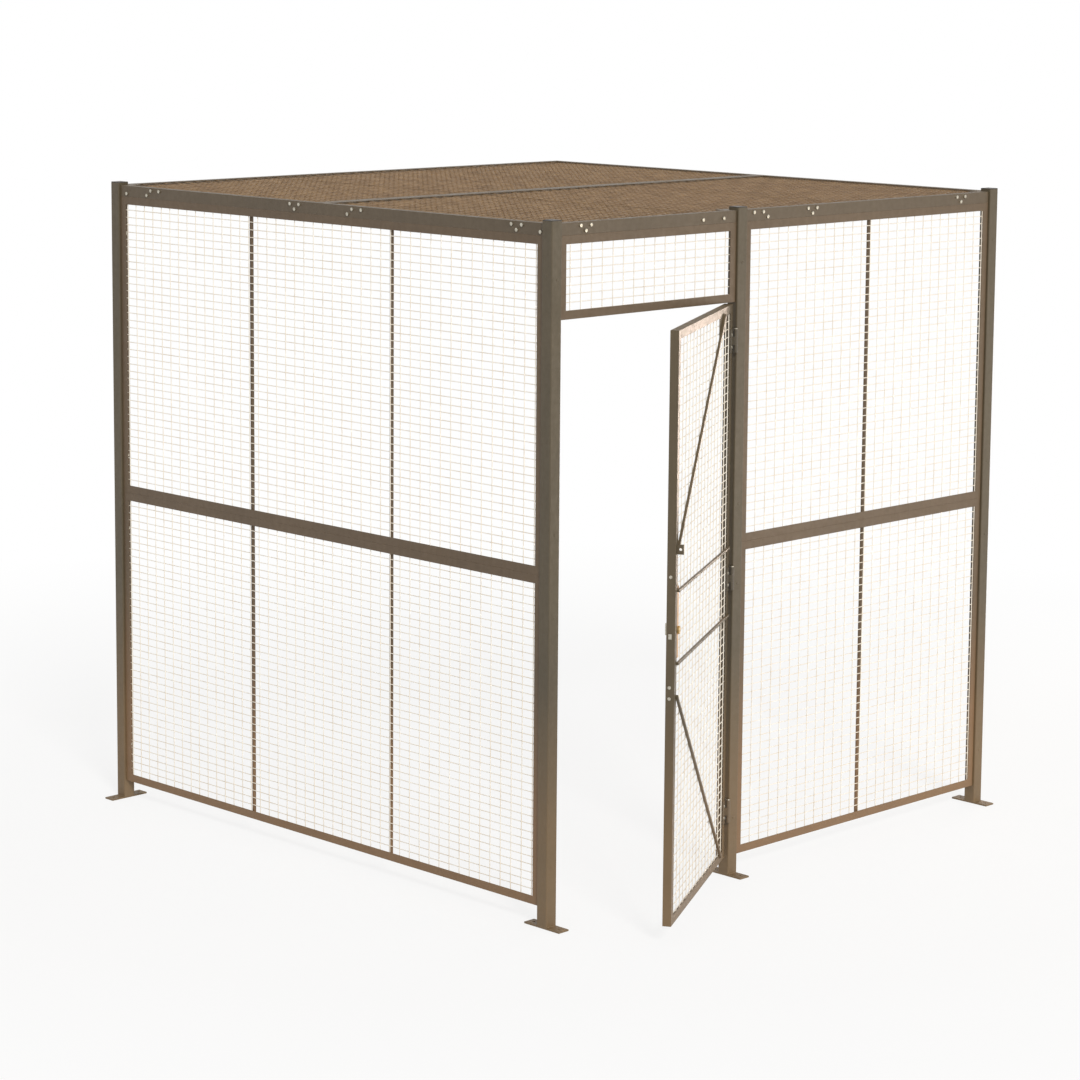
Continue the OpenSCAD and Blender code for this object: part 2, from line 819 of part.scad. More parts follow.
// Clips: centre of the upper pair and offset of the lower bolt, along each wall.
side_clips = [[side_clip_near, 0], [ceiling_split_y - side_clip_before, clip_pitch],
              [ceiling_split_y + side_clip_behind, 0], [far_y - side_clip_far, clip_pitch]];
front_clips = [[door_clip_near, 0], [hinge_x + front_clip_near, clip_pitch],
               [hinge_x + front_clip_next, 0], [right_x - front_clip_end, 0]];
side_single_ys = [half_post + single_bolt_near, far_y - half_post - single_bolt_far];
bay_bolt_xs = [hinge_face_x - bay_bolt_outer, hinge_face_x - bay_bolt_inner];
clip_foot_in = clip_t + leg_t + hex_r + 2;
side_foot_ys = [for (c = side_clips) c[0] - clip_pitch / 2];
front_foot_xs = [for (c = front_clips) if (c[0] > hinge_x) c[0] - clip_pitch / 2];
bay_foot_xs = concat([for (c = front_clips) if (c[0] < hinge_x) c[0] - clip_pitch / 2], bay_bolt_xs);

// The clip bolts' places on the front wall: [x, height over the wall].
function clip_points(clips) = [for (c = clips) each [
    [c[0] - clip_pitch / 2, clip_bolt_high],
    [c[0] + clip_pitch / 2, clip_bolt_high],
    [c[0] + c[1], clip_bolt_low]]];
front_points = concat(clip_points(front_clips),
                      [for (x = bay_bolt_xs) [x, bay_bolt_high]]);
side_points = concat(clip_points(side_clips),
                     [for (y = side_single_ys) [y, clip_bolt_low]]);

module clip_holes(points) {
    for (p = points)
        translate([p[0], -half_leg - 1, ceiling_z + p[1]]) rod_y(hole_r, leg_t + clip_t + 2);
}

// Pairs of holes for screws into a building's walls.
module edge_holes_right(y0, y1) {
    for (side = [-1, 1])
        translate([ceiling_right_x - leg_t - 1, (y0 + y1) / 2 + side * edge_hole_pitch / 2,
                   ceiling_z + ceiling_leg / 2])
            rod_x(edge_hole_r, leg_t + 2);
}

module edge_holes_back(x_mid) {
    for (side = [-1, 1])
        translate([x_mid + side * edge_hole_pitch / 2, ceiling_back_y - leg_t - 1,
                   ceiling_z + ceiling_leg / 2])
            rod_y(edge_hole_r, leg_t + 2);
}

module joint_holes(y) {
    for (x = rail_bolt_xs(right_x))
        translate([x, y, ceiling_z + ceiling_leg / 2]) rod_y(hole_r, leg_t + 2);
}

module ceiling_near_frame() {
    y1 = ceiling_split_y;
    inner = half_leg;
    meet = leg + seam;
    edge = leg_t + seam;
    plate_in = half_post + notch_reach;
    color(paint) difference() {
        union() {
            ceiling_angle_x(jamb_x, hinge_face_x, -half_leg, 1);
            ceiling_angle_x(front_panel_x, right_x - half_post, -half_leg, 1);
            ceiling_angle_y(half_post, y1, -half_leg, 1, 0, meet);
            ceiling_angle_y(half_post, y1, ceiling_right_x, -1, 0, meet);
            ceiling_angle_x(edge - half_leg, ceiling_right_x - edge, y1, -1);
            notch_plate(inner, inner, plate_in, plate_in);
            notch_plate(hinge_x - plate_in, inner, hinge_x + plate_in, plate_in);
            notch_plate(right_x - plate_in, inner, ceiling_right_x - leg, plate_in);
        }
        clip_holes(front_points);
        on_side_wall() clip_holes(side_points);
        edge_holes_right(0, y1);
        joint_holes(y1 - leg_t - 1);
    }
}

module ceiling_far_frame() {
    y0 = ceiling_split_y;
    meet = leg + seam;
    edge = leg_t + seam;
    plate_in = half_post + notch_reach;
    color(paint) difference() {
        union() {
            ceiling_angle_x(edge - half_leg, ceiling_right_x - edge, y0, 1);
            ceiling_angle_y(y0, far_y - half_post, -half_leg, 1, meet);
            ceiling_angle_y(y0, ceiling_back_y, ceiling_right_x, -1, meet, meet);
            ceiling_angle_x(half_post, ceiling_right_x - edge, ceiling_back_y, -1);
            notch_plate(half_leg, far_y - plate_in, plate_in, ceiling_back_y - leg);
        }
        on_side_wall() clip_holes(side_points);
        edge_holes_right(y0, far_y);
        edge_holes_back(right_x / 4);
        edge_holes_back(right_x * 3 / 4);
        joint_holes(y0 - 1);
    }
}

// How far a ceiling wire must start behind a post that it would run into.
function past_post(value, post, keep) =
    abs(value - post) < half_post + wire_d ? half_post + 1 : keep;

// Wires along Y lie under the level legs; wires along X lie under those.
module ceiling_mesh(y0, y1, near) {
    under = ceiling_top - leg_t;
    first_y = near ? half_post + wire_d : y0 + wire_inset + wire_d;
    last_y = near ? y1 - wire_inset - wire_d : far_y - half_post - wire_d;
    rows = floor((last_y - first_y) / pitch_up);
    x_start = -half_leg + wire_inset;
    x_end = ceiling_right_x - wire_inset;
    columns = floor((x_end - x_start - 2 * wire_d) / pitch_across);
    column_x0 = (x_start + x_end - columns * pitch_across) / 2;
    for (i = [0 : rows])
        translate([x_start, first_y + i * pitch_up, under - 1.5 * wire_d])
            rod_x(wire_d / 2, x_end - x_start);
    for (i = [0 : columns]) {
        x = column_x0 + i * pitch_across;
        behind = max([for (spot = [post_spots[0], post_spots[2], post_spots[3]])
                      past_post(x, spot[0], -half_leg + wire_inset)]);
        start_y = near ? behind : y0 + wire_inset;
        back = abs(x) < half_post + wire_d ? far_y - half_post - 1 : ceiling_back_y - wire_inset;
        end_y = near ? y1 - wire_inset : back;
        translate([x, start_y, under - wire_d / 2]) rod_y(wire_d / 2, end_y - start_y);
    }
}

module ceiling_near_mesh() {
    color(wire_paint) ceiling_mesh(0, ceiling_split_y, true);
}

module ceiling_far_mesh() {
    color(wire_paint) ceiling_mesh(ceiling_split_y, ceiling_back_y, false);
}

// Channels under the mesh, from one level leg to the other.
module ceiling_stiffeners(y0, y1) {
    for (third = [1, 2])
        translate([right_x * third / 3, y0, ceiling_top - mesh_back])
            rotate([0, 0, 90]) rotate([-90, 0, 0]) channel(y1 - y0);
}

module ceiling_near_stiffeners() {
    color(paint) ceiling_stiffeners(half_leg, ceiling_split_y - leg);
}

module ceiling_far_stiffeners() {
    color(paint) ceiling_stiffeners(ceiling_split_y + leg, ceiling_back_y - leg);
}

// An angle clip behind the ceiling's upright leg, standing on the top rail.
module clip(x0, x1, points, foot_xs) {
    translate([0, -half_leg + leg_t, ceiling_z]) difference() {
        union() {
            translate([x0, 0, 0]) cube([x1 - x0, clip_t, clip_h]);
            translate([x0, 0, 0]) cube([x1 - x0, clip_foot, clip_t]);
        }
        for (p = points)
            translate([p[0], -1, p[1]]) rod_y(hole_r, clip_t + 2);
        for (x = foot_xs)
            translate([x, clip_foot_in - leg_t, -1]) cylinder(r = hole_r, h = clip_t + 2);
    }
}

module wall_clips(clips, points, foot_xs) {
    for (c = clips)
        clip(c[0] - clip_l / 2, c[0] + clip_l / 2 + c[1] / 2, points, foot_xs);
}

module ceiling_clips() {
    color(paint) {
        wall_clips(front_clips, front_points, concat(front_foot_xs, bay_foot_xs));
        on_side_wall() wall_clips(side_clips, side_points, side_foot_ys);
        for (x = bay_bolt_xs) clip(x - hex_af, x + hex_af, front_points, bay_bolt_xs);
    }
}

module at_clip_points(points) {
    for (p = points) translate([p[0], -half_leg, ceiling_z + p[1]]) children();
}

module clip_bolts() {
    shank = leg_t + clip_t + nut_h + 1;
    color(zinc) {
        at_clip_points(front_points) rotate([90, 0, 0]) bolt(shank);
        on_side_wall() at_clip_points(side_points) rotate([90, 0, 0]) bolt(shank);
    }
}

module clip_nuts() {
    color(zinc) {
        at_clip_points(front_points) translate([0, leg_t + clip_t, 0]) rotate([-90, 0, 0]) nut();
        on_side_wall() at_clip_points(clip_points(side_clips))
            translate([0, leg_t + clip_t, 0]) rotate([-90, 0, 0]) nut();
        on_side_wall() at_clip_points([for (y = side_single_ys) [y, clip_bolt_low]])
            translate([0, leg_t, 0]) rotate([-90, 0, 0]) nut();
    }
}

module at_clip_feet(xs) {
    for (x = xs) translate([x, clip_foot_in - half_leg, ceiling_z]) children();
}

// The bolt that holds a clip's foot, tapped into the top rail.
module clip_foot_bolt() {
    translate([0, 0, clip_t]) bolt(clip_t + leg_t);
}

module clip_foot_bolts() {
    color(zinc) {
        at_clip_feet(concat(front_foot_xs, bay_foot_xs)) clip_foot_bolt();
        on_side_wall() at_clip_feet(side_foot_ys) clip_foot_bolt();
    }
}

// ---- Hinges ---------------------------------------------------------------

module at_hinges() {
    for (z = hinge_zs) translate([0, 0, z - hinge_h / 2]) children();
}

module knuckle(index) {
    translate([0, 0, index * (knuckle_h + knuckle_gap)]) cylinder(r = barrel_r, h = knuckle_h);
}

module knuckle_arm(index, size) {
    translate([0, 0, index * (knuckle_h + knuckle_gap)]) cube([size[0], size[1], knuckle_h]);
}

// The post's half of a hinge: two knuckles and a plate on the post's side face.
module hinge_post_leaf() {
    plate_x = hinge_face_x - hinge_t;
    arm = barrel_r + barrel_gap;
    difference() {
        union() {
            for (index = [0, 2]) {
                translate([axis_x, axis_y, 0]) knuckle(index);
                translate([plate_x, axis_y, 0]) knuckle_arm(index, [hinge_t, arm + far]);
            }
            translate([plate_x, axis_y + arm, 0]) cube([hinge_t, hinge_post_w - arm, hinge_h]);
        }
        translate([axis_x, axis_y, -1]) cylinder(r = pin_r + pin_clear, h = hinge_h + 2);
    }
}

module at_hinge_post_bolts() {
    translate([0, 0, floor_gap]) at_hinges()
        for (side = [-1, 1])
            translate([hinge_face_x, axis_y + hinge_post_w - hinge_bolt_s / 2,
                       hinge_h / 2 + side * hinge_bolt_pitch / 2])
                children();
}

module hinge_post_holes() {
    at_hinge_post_bolts() translate([-hinge_t - 1, 0, 0])
        rod_x(hinge_bolt_d / 2 + bolt_clear, hinge_t + post_wall + 2);
}

module hinge_post_leaves() {
    color(paint) difference() {
        translate([0, 0, floor_gap]) at_hinges() hinge_post_leaf();
        hinge_post_holes();
    }
}

// A low-headed bolt: its seat at z = 0, its shank down.
module hinge_bolt(shank) {
    cylinder(r = hinge_bolt_af / sqrt(3), h = hinge_head_h, $fn = 6);
    translate([0, 0, -shank]) cylinder(d = hinge_bolt_d, h = shank + far);
}

module hinge_post_bolts() {
    color(zinc) at_hinge_post_bolts()
        translate([-hinge_t, 0, 0]) rotate([0, -90, 0]) hinge_bolt(hinge_t + post_wall + 4);
}

module hinge_pins() {
    color(zinc) translate([axis_x, axis_y, floor_gap]) at_hinges() {
        cylinder(r = pin_r, h = hinge_h);
        translate([0, 0, hinge_h]) cylinder(r = pin_head_r, h = pin_head_h);
    }
}

// The door's half of a hinge: one knuckle and a plate on the leaf's outer face.
module hinge_door_leaf() {
    arm_s = axis_s + barrel_r - hinge_t;
    difference() {
        union() {
            translate([axis_s, axis_w, 0]) knuckle(1);
            translate([arm_s, axis_w, 0]) knuckle_arm(1, [hinge_t, -axis_w]);
            translate([arm_s, -hinge_t, 0]) cube([hinge_plate_w - arm_s, hinge_t, hinge_h]);
        }
        translate([axis_s, axis_w, -1]) cylinder(r = pin_r + pin_clear, h = hinge_h + 2);
    }
}

module at_hinge_door_bolts() {
    at_hinges()
        for (side = [-1, 1])
            translate([hinge_bolt_s, 0, hinge_h / 2 + side * hinge_bolt_pitch / 2]) children();
}

module hinge_door_holes() {
    at_hinge_door_bolts() translate([0, -hinge_t - 1, 0])
        rod_y(hinge_bolt_d / 2 + bolt_clear, hinge_t + leg_t + 2);
}

module hinge_door_leaves() {
    color(paint) at_door() difference() {
        at_hinges() hinge_door_leaf();
        hinge_door_holes();
    }
}

module hinge_door_bolts() {
    color(zinc) at_door() at_hinge_door_bolts()
        translate([0, -hinge_t, 0]) rotate([90, 0, 0]) hinge_bolt(hinge_t + leg_t);
}

// ---- Door leaf ------------------------------------------------------------

// Places of the bolts in the lock stile's edge.
stile_bolt_zs = [lock_z + edge_bolt_up, lock_z - edge_bolt_down, lock_z - edge_bolt_low];

module stile_edge_holes() {
    for (z = stile_bolt_zs)
        translate([door_w - leg_t - 1, bolt_inset, z]) rod_x(hinge_bolt_d / 2 + bolt_clear, leg_t + 2);
}

// The slot for the lock bolt in the lock stile's web.
module web_slot() {
    translate([door_w - leg_t - 1, bolt_in - slot_clear, bolt_low - slot_clear])
        cube([leg_t + 2, bolt_t + 2 * slot_clear, bolt_h + 2 * slot_clear]);
}

module door_frame() {
    color(paint) at_door() difference() {
        angle_frame(door_w, door_h);
        hinge_door_holes();
        stile_edge_holes();
        web_slot();
    }
}

// The outline of the lock plate, in the leaf's plane.
module lock_plate_outline() {
    side = door_w - leg_t;
    straight = plate_low + plate_h;
    polygon([[plate_s, plate_low], [side, plate_low], [side, straight + plate_slant],
             [side - (leg - leg_t) / 2, straight + plate_slant], [plate_s + plate_corner, straight],
             [plate_s, straight]]);
}

// A prism on the leaf's plane from depth w0, as deep as d.
module in_leaf(w0, d) {
    translate([0, w0 + d, 0]) rotate([90, 0, 0]) linear_extrude(d) children();
}

module door_mesh() {
    color(wire_paint) at_door() {
        difference() {
            upright_wires(door_w, door_h);
            in_leaf(leg_t - 1, wire_d + 2) lock_plate_outline();
        }
        difference() {
            level_wires(door_w, door_h);
            translate([case_s, leg_t, case_low]) cube([plate_w, leg, case_h]);
        }
    }
}

// How far the bars on the leaf's face end from its edges.
bar_end = leg - bar_lap;

module door_crossbars() {
    color(paint) at_door() for (z = [bar_low_z, bar_high_z])
        translate([bar_end, -bar_w, z]) square_bar(door_w - 2 * bar_end);
}

// A brace on the leaf's face that starts on a rail at s and slopes towards the lock stile.
module brace(s, z, slope) {
    long = door_w * 2;
    intersection() {
        translate([s, -bar_w, z]) rotate([0, -slope, 0])
            translate([-bar_w * 2, 0, 0]) square_bar(long);
        translate([bar_end, -bar_w - 1, bar_end])
            cube([door_w - 2 * bar_end, bar_w + 2, door_h - 2 * bar_end]);
    }
}

module door_upper_brace() {
    color(paint) at_door() brace(brace_high_s, door_h, -brace_angle);
}

module door_lower_brace() {
    color(paint) at_door() brace(brace_low_s, 0, brace_angle);
}

module door_gusset() {
    top = door_h - leg;
    color(paint) at_door() in_leaf(0, gusset_t)
        polygon([[gusset_s, top], [gusset_s + gusset_l, top],
                 [gusset_s + gusset_l, top - gusset_h], [gusset_s + gusset_l / 2, top - gusset_h]]);
}

// ---- Lock -----------------------------------------------------------------

module lock_plate() {
    color(paint) at_door() difference() {
        in_leaf(leg_t, plate_t) lock_plate_outline();
        translate([lock_s, 0, lock_z]) rod_y(cylinder_r + key_clear, leg);
    }
}

module lock_case() {
    depth = case_back - plate_back;
    inner_w = door_w - leg_t - case_s;
    color(zinc) at_door() difference() {
        translate([case_s, plate_back, case_low]) cube([inner_w, depth, case_h]);
        translate([case_s + case_t, plate_back - 1, case_low + case_t])
            cube([inner_w, depth - case_t + 1, case_h - 2 * case_t]);
        translate([lock_s, case_back - case_t - 1, lock_z]) rod_y(spindle_r + key_clear, case_t + 2);
    }
}

module lock_cylinder() {
    color(brass) at_door() translate([lock_s, 0, lock_z]) difference() {
        union() {
            translate([0, leg_t - collar_h, 0]) rod_y(collar_r, collar_h);
            translate([0, leg_t - 1, 0]) rod_y(cylinder_r, plate_t + cylinder_tail + 1);
        }
        translate([0, -collar_h, 0]) rod_y(key_r + key_clear, collar_h + leg);
    }
}

module lock_stile_bolts() {
    color(zinc) at_door() for (z = stile_bolt_zs)
        translate([door_w, bolt_inset, z]) rotate([0, 90, 0]) hinge_bolt(leg_t);
}

module padlock_lug() {
    color(paint) at_door() translate([door_w - lug_back, 0, lug_z]) difference() {
        translate([-lug_t / 2, -lug_out, -lug_h / 2]) cube([lug_t, lug_out, lug_h]);
        translate([-lug_t / 2 - 1, -lug_out / 2 - 1, 0]) rod_x(lug_hole_r, lug_t + 2);
    }
}

module lock_bolt() {
    color(zinc) at_door() difference() {
        translate([bolt_tail_s, bolt_in, bolt_low])
            cube([bolt_tip_s - bolt_tail_s, bolt_t, bolt_h]);
        translate([lock_s - throw / 2 - crank_slot_w / 2, bolt_in - 1, lock_z - crank_r - crank_pin_r - 1])
            cube([crank_slot_w, bolt_t + 2, crank_r + crank_pin_r + 1]);
    }
}

// Key plug, spindle, crank and crank pin in one piece.
module lock_spindle() {
    plug_end = leg_t + plate_t + cylinder_tail;
    color(brass) at_door() translate([lock_s, 0, lock_z]) difference() {
        union() {
            translate([0, leg_t - collar_h, 0]) rod_y(key_r, plug_end - leg_t + collar_h);
            translate([0, plug_end - 1, 0]) rod_y(spindle_r, case_back + turn_h - plug_end + 1 - 2);
            translate([0, crank_w, 0]) rod_y(crank_hub_r, crank_t);
            rotate([0, 45, 0]) translate([0, 0, -crank_r]) {
                translate([0, bolt_in + 1, 0]) rod_y(crank_pin_r, crank_w - bolt_in);
                translate([0, crank_w, 0]) rod_y(crank_tip_r, crank_t);
                translate([-crank_web / 2, crank_w + crank_step, 0])
                    cube([crank_web, crank_t - 2 * crank_step, crank_r]);
            }
        }
        translate([-key_slot_w / 2, leg_t - collar_h - 1, -key_slot_h / 2])
            cube([key_slot_w, key_slot_d + 1, key_slot_h]);
    }
}

module thumb_turn() {
    base_w = case_back + 0.5;
    color(zinc) at_door() translate([lock_s, base_w, lock_z]) difference() {
        union() {
            rod_y(collar_r - 3, 3);
            translate([-turn_w / 2, 2, -turn_l / 2]) cube([turn_w, turn_h, turn_l]);
        }
        translate([0, -1, 0]) rod_y(spindle_r + cap_clear, turn_h - 1.5);
    }
}

// ---- Jamb -----------------------------------------------------------------

bumper_y = bolt_inset - half_leg;
strike_y = bolt_y + bolt_t / 2;

module strike_slot(x, depth) {
    translate([x, bolt_y - slot_clear, bolt_mid_z - bolt_h / 2 - slot_clear])
        cube([depth, bolt_t + 2 * slot_clear, bolt_h + 2 * slot_clear]);
}

module at_strike_screws() {
    for (side = [-1, 1])
        translate([jamb_x + strike_t, strike_y, bolt_mid_z + side * strike_h / 3]) children();
}

module strike_holes(x, depth) {
    for (side = [-1, 1])
        translate([x, strike_y, bolt_mid_z + side * strike_h / 3])
            rod_x(screw_r + cap_clear, depth);
}

module strike_plate() {
    color(zinc) difference() {
        translate([jamb_x, strike_y - strike_w / 2, bolt_mid_z - strike_h / 2])
            cube([strike_t, strike_w, strike_h]);
        strike_slot(jamb_x - 1, strike_t + 2);
        strike_holes(jamb_x - 1, strike_t + 2);
    }
}

module strike_screws() {
    color(zinc) at_strike_screws() {
        rod_x(screw_head_r, screw_head_h);
        translate([-strike_t - post_wall - 2, 0, 0])
            rod_x(screw_r, strike_t + post_wall + 2 + far);
    }
}

module door_bumper() {
    color(black) translate([jamb_x, bumper_y, bumper_z]) {
        rod_x(bumper_r, bumper_h);
        translate([-post_wall - 2, 0, 0]) rod_x(screw_r - cap_clear, post_wall + 2 + far);
    }
}

// ---- Pieces -----------------------------------------------------------------

post_corner();
post_far_left();
post_hinge();
post_right();
base_plate_corner();
base_plate_far_left();
base_plate_hinge();
base_plate_right();
post_caps();
post_plugs();
left_lower_frame();
left_lower_mesh();
left_lower_stiffeners();
left_upper_frame();
left_upper_mesh();
left_upper_stiffeners();
front_lower_frame();
front_lower_mesh();
front_lower_stiffener();
front_upper_frame();
front_upper_mesh();
front_upper_stiffener();
transom_frame();
transom_mesh();
ceiling_near_frame();
ceiling_near_mesh();
ceiling_near_stiffeners();
ceiling_far_frame();
ceiling_far_mesh();
ceiling_far_stiffeners();
ceiling_clips();
clip_bolts();
clip_nuts();
clip_foot_bolts();
panel_bolts();
panel_nuts();
rail_bolts();
rail_nuts();
hinge_post_leaves();
hinge_pins();
hinge_post_bolts();
strike_plate();
strike_screws();
door_bumper();
door_frame();
door_mesh();
door_crossbars();
door_upper_brace();
door_lower_brace();
door_gusset();
hinge_door_leaves();
hinge_door_bolts();
lock_plate();
lock_case();
lock_cylinder();
lock_stile_bolts();
padlock_lug();
lock_bolt();
lock_spindle();
thumb_turn();
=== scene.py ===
import json
import math
import random
from collections import namedtuple

import bmesh
import bpy
from mathutils import Matrix, Vector

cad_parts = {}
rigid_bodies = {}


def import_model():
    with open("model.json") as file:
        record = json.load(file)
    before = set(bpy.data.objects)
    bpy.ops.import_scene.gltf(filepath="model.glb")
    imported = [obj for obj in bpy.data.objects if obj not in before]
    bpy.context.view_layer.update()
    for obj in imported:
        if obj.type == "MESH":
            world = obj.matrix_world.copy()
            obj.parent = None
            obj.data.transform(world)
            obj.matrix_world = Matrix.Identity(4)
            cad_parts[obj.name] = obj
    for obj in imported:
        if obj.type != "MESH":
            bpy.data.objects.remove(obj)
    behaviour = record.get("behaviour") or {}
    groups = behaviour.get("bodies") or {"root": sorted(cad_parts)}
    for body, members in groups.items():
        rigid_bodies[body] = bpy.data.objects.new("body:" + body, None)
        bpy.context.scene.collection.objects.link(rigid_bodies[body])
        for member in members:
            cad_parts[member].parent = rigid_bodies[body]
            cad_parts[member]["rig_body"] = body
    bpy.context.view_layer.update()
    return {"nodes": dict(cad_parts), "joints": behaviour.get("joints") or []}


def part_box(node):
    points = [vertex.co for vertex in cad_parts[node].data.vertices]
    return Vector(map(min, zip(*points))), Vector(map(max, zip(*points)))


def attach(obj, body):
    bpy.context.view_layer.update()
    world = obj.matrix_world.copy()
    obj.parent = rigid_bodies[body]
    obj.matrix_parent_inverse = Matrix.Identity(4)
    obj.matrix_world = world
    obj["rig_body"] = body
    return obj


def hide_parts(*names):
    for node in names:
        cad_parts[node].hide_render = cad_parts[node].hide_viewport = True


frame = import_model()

# ---- Sizes, in metres ----------------------------------------------------------------

MM = 0.001
TUBE_WALL = 2 * MM
TUBE_CORNER = 4.2 * MM
TUBE_INNER_CORNER = 2.2 * MM
CAP_DEPTH = 8 * MM
CAP_PLAY = 0.1 * MM
ANGLE_T = 3.2 * MM
ANGLE_RADII_MM = (1.0, 0.6, 1.8, 3.2, 1.8, 0.6)
CHANNEL_W = 14 * MM
CHANNEL_D = 9.5 * MM
CHANNEL_T = 2 * MM
CHANNEL_RADII_MM = (2.8, 2.8, 0.5, 0.5, 0.8, 0.8, 0.5, 0.5)
BAR_LAP = 10 * MM
NARROWEST_BAR = 6 * MM
WIDEST_BAR = 40 * MM

# The lock bolt passes through a slot in the leaf's stile and one in the corner post.
SLOT_Y = (-4.175 * MM, 9.125 * MM)
SLOT_Z = (1116.9 * MM, 1136.5 * MM)
POST_SLOT = tuple(zip((22.4 * MM, 26.4 * MM), SLOT_Y, SLOT_Z))
STILE_SLOT = tuple(zip((33.9 * MM, 39.1 * MM), SLOT_Y, SLOT_Z))

# A bolt's width across the flats, its head's height and its shank's radius.
WALL_BOLT = (12.7 * MM, 5.3 * MM, 3.95 * MM)
DOOR_BOLT = (11 * MM, 2.6 * MM, 3.175 * MM)

# The rest of bolts and nuts. HEX_FACE is the share of the flats where the chamfer begins.
NUT_FLATS = 12.7 * MM
NUT_HOLE = 4.05 * MM
NUT_BEVEL = 0.5 * MM
HEX_FACE = 0.475
HEX_CORNER = math.pi / 3
HEX_SLOPE = math.tan(math.pi / 6)
THREAD_PITCH = 1.25 * MM
THREAD_START = 1 * MM
THREAD_ROOT = 0.9
BOLT_POINT = 0.9 * MM
BOLT_TIP = 0.78

# Weld beads: their radii, and how they swell and taper.
FOOT_WELD = 2.6 * MM
MITRE_WELD = 1.5 * MM
CHANNEL_WELD = 1.1 * MM
LAP_WELD = 1.2 * MM
GUSSET_WELD = 1.4 * MM
BEAD_STEP = 2.4 * MM
BEAD_DIP = 0.86
BEAD_TIP = 0.45
BEAD_SCATTER = (0.93, 1.06)
NUGGET_WIDTH = (1.25, 1.4)
NUGGET_DEPTH = 0.85

TUBE_STEPS = 5
SECTION_STEPS = 4
BEAD_SIDES = 8
WIRE_SIDES = 8
TURNED_SIDES = 24
SAME_POINT = 0.001 * MM
ON_END = 0.05 * MM
FLAT_ANGLE = math.radians(1)
SHARP_ANGLE = math.radians(40)
SMOOTH_ANGLE = math.radians(34)
WIRE_SMOOTH_ANGLE = math.radians(85)

rng = random.Random(41)

# ---- Places taken from the frame -----------------------------------------------------

# Every piece is drawn with the door closed, and OPENED turns those on the door to rest.
ROOM = "room"
swing = next(j for j in frame["joints"] if j["name"] == "door_swing")
AXIS = Vector(swing["pos_m"])
REST = -math.radians(swing["range_deg"][0])
OPENED = Matrix.Translation(AXIS) @ Matrix.Rotation(REST, 4, "Z") @ Matrix.Translation(-AXIS)
CLOSED = OPENED.inverted()

# In a wall's own directions x runs along it, y goes in behind its face and z goes up. In
# those of the ceiling z goes from the front to the back.
FRONT_WALL = Matrix.Identity(4)
SIDE_WALL = Matrix(((0, 1, 0, 0), (1, 0, 0, 0), (0, 0, 1, 0), (0, 0, 0, 1)))
CEILING_WALL = Matrix(((1, 0, 0, 0), (0, 0, 1, 0), (0, -1, 0, 0), (0, 0, 0, 1)))

POST_LOW, POST_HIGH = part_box("post_corner")
HALF_POST = (POST_HIGH.x - POST_LOW.x) / 2


def extent(points):
    """The lowest and highest corner of some points."""
    low = Vector([min(p[i] for p in points) for i in range(3)])
    high = Vector([max(p[i] for p in points) for i in range(3)])
    return low, high


def body_of(node):
    return frame["nodes"][node]["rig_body"]


def on_leaf(node):
    return body_of(node) != ROOM


def closing(node):
    """What brings a node's points to where they are with the door closed."""
    return CLOSED if on_leaf(node) else Matrix.Identity(4)


def node_points(node):
    """All points of a node, with the door closed."""
    turn = closing(node)
    return [turn @ v.co for v in frame["nodes"][node].data.vertices]


def node_mesh(node):
    """A node's own mesh, with its points merged."""
    bm = bmesh.new()
    bm.from_mesh(frame["nodes"][node].data)
    bmesh.ops.remove_doubles(bm, verts=bm.verts, dist=SAME_POINT)
    return bm


def solids(node):
    """The points of each separate solid of a node, with the door closed.

    The dict keeps its order, so every run gives the points in the same order."""
    turn = closing(node)
    bm = node_mesh(node)
    left = dict.fromkeys(bm.verts)
    groups = []
    while left:
        queue = [left.popitem()[0]]
        group = []
        while queue:
            vert = queue.pop()
            group.append(turn @ vert.co)
            for edge in vert.link_edges:
                other = edge.other_vert(vert)
                if other in left:
                    del left[other]
                    queue.append(other)
        groups.append(group)
    bm.free()
    return sorted(groups, key=lambda g: tuple(round(c, 5) for c in extent(g)[0]))


# ---- Materials -----------------------------------------------------------------------


def linear(red, green, blue):
    """A screen colour from 0 to 255 as a linear colour with alpha."""
    parts = []
    for value in (red, green, blue):
        value /= 255
        parts.append(value / 12.92 if value <= 0.04045 else ((value + 0.055) / 1.055) ** 2.4)
    return (*parts, 1)


def scaled(colour, factor):
    return (*[min(1, c * factor) for c in colour[:3]], 1)


class Nodes:
    """A node tree, with short ways to add nodes and link them."""

    def __init__(self, tree):
        self.tree = tree

    def add(self, kind, inputs=None, **settings):
        """A new node. An input is a number, a colour or another node's output."""
        node = self.tree.nodes.new(kind)
        for key, value in settings.items():
            setattr(node, key, value)
        for key, value in (inputs or {}).items():
            self.feed(node.inputs[key], value)
        return node

    def feed(self, socket, value):
        if isinstance(value, bpy.types.NodeSocket):
            self.tree.links.new(value, socket)
        else:
            socket.default_value = value

    def maths(self, operation, a, b):
        return self.add("ShaderNodeMath", {0: a, 1: b}, operation=operation).outputs[0]

    def sum(self, a, b):
        return self.maths("ADD", a, b)

    def product(self, a, b):
        return self.maths("MULTIPLY", a, b)

    def larger(self, a, b):
        return self.maths("MAXIMUM", a, b)

    def seen(self):
        """One where a surface is seen, mirrored or seen through glass, and else nothing."""
        ray = self.add("ShaderNodeLightPath").outputs
        either = self.larger(ray["Is Camera Ray"], ray["Is Glossy Ray"])
        return self.larger(either, ray["Is Transmission Ray"])

    def surface_from(self, factor, a, b, output):
        """Mixes two shaders into the tree's output."""
        mix = self.add("ShaderNodeMixShader", {0: factor, 1: a.outputs[0], 2: b.outputs[0]})
        self.feed(self.tree.nodes[output].inputs["Surface"], mix.outputs[0])


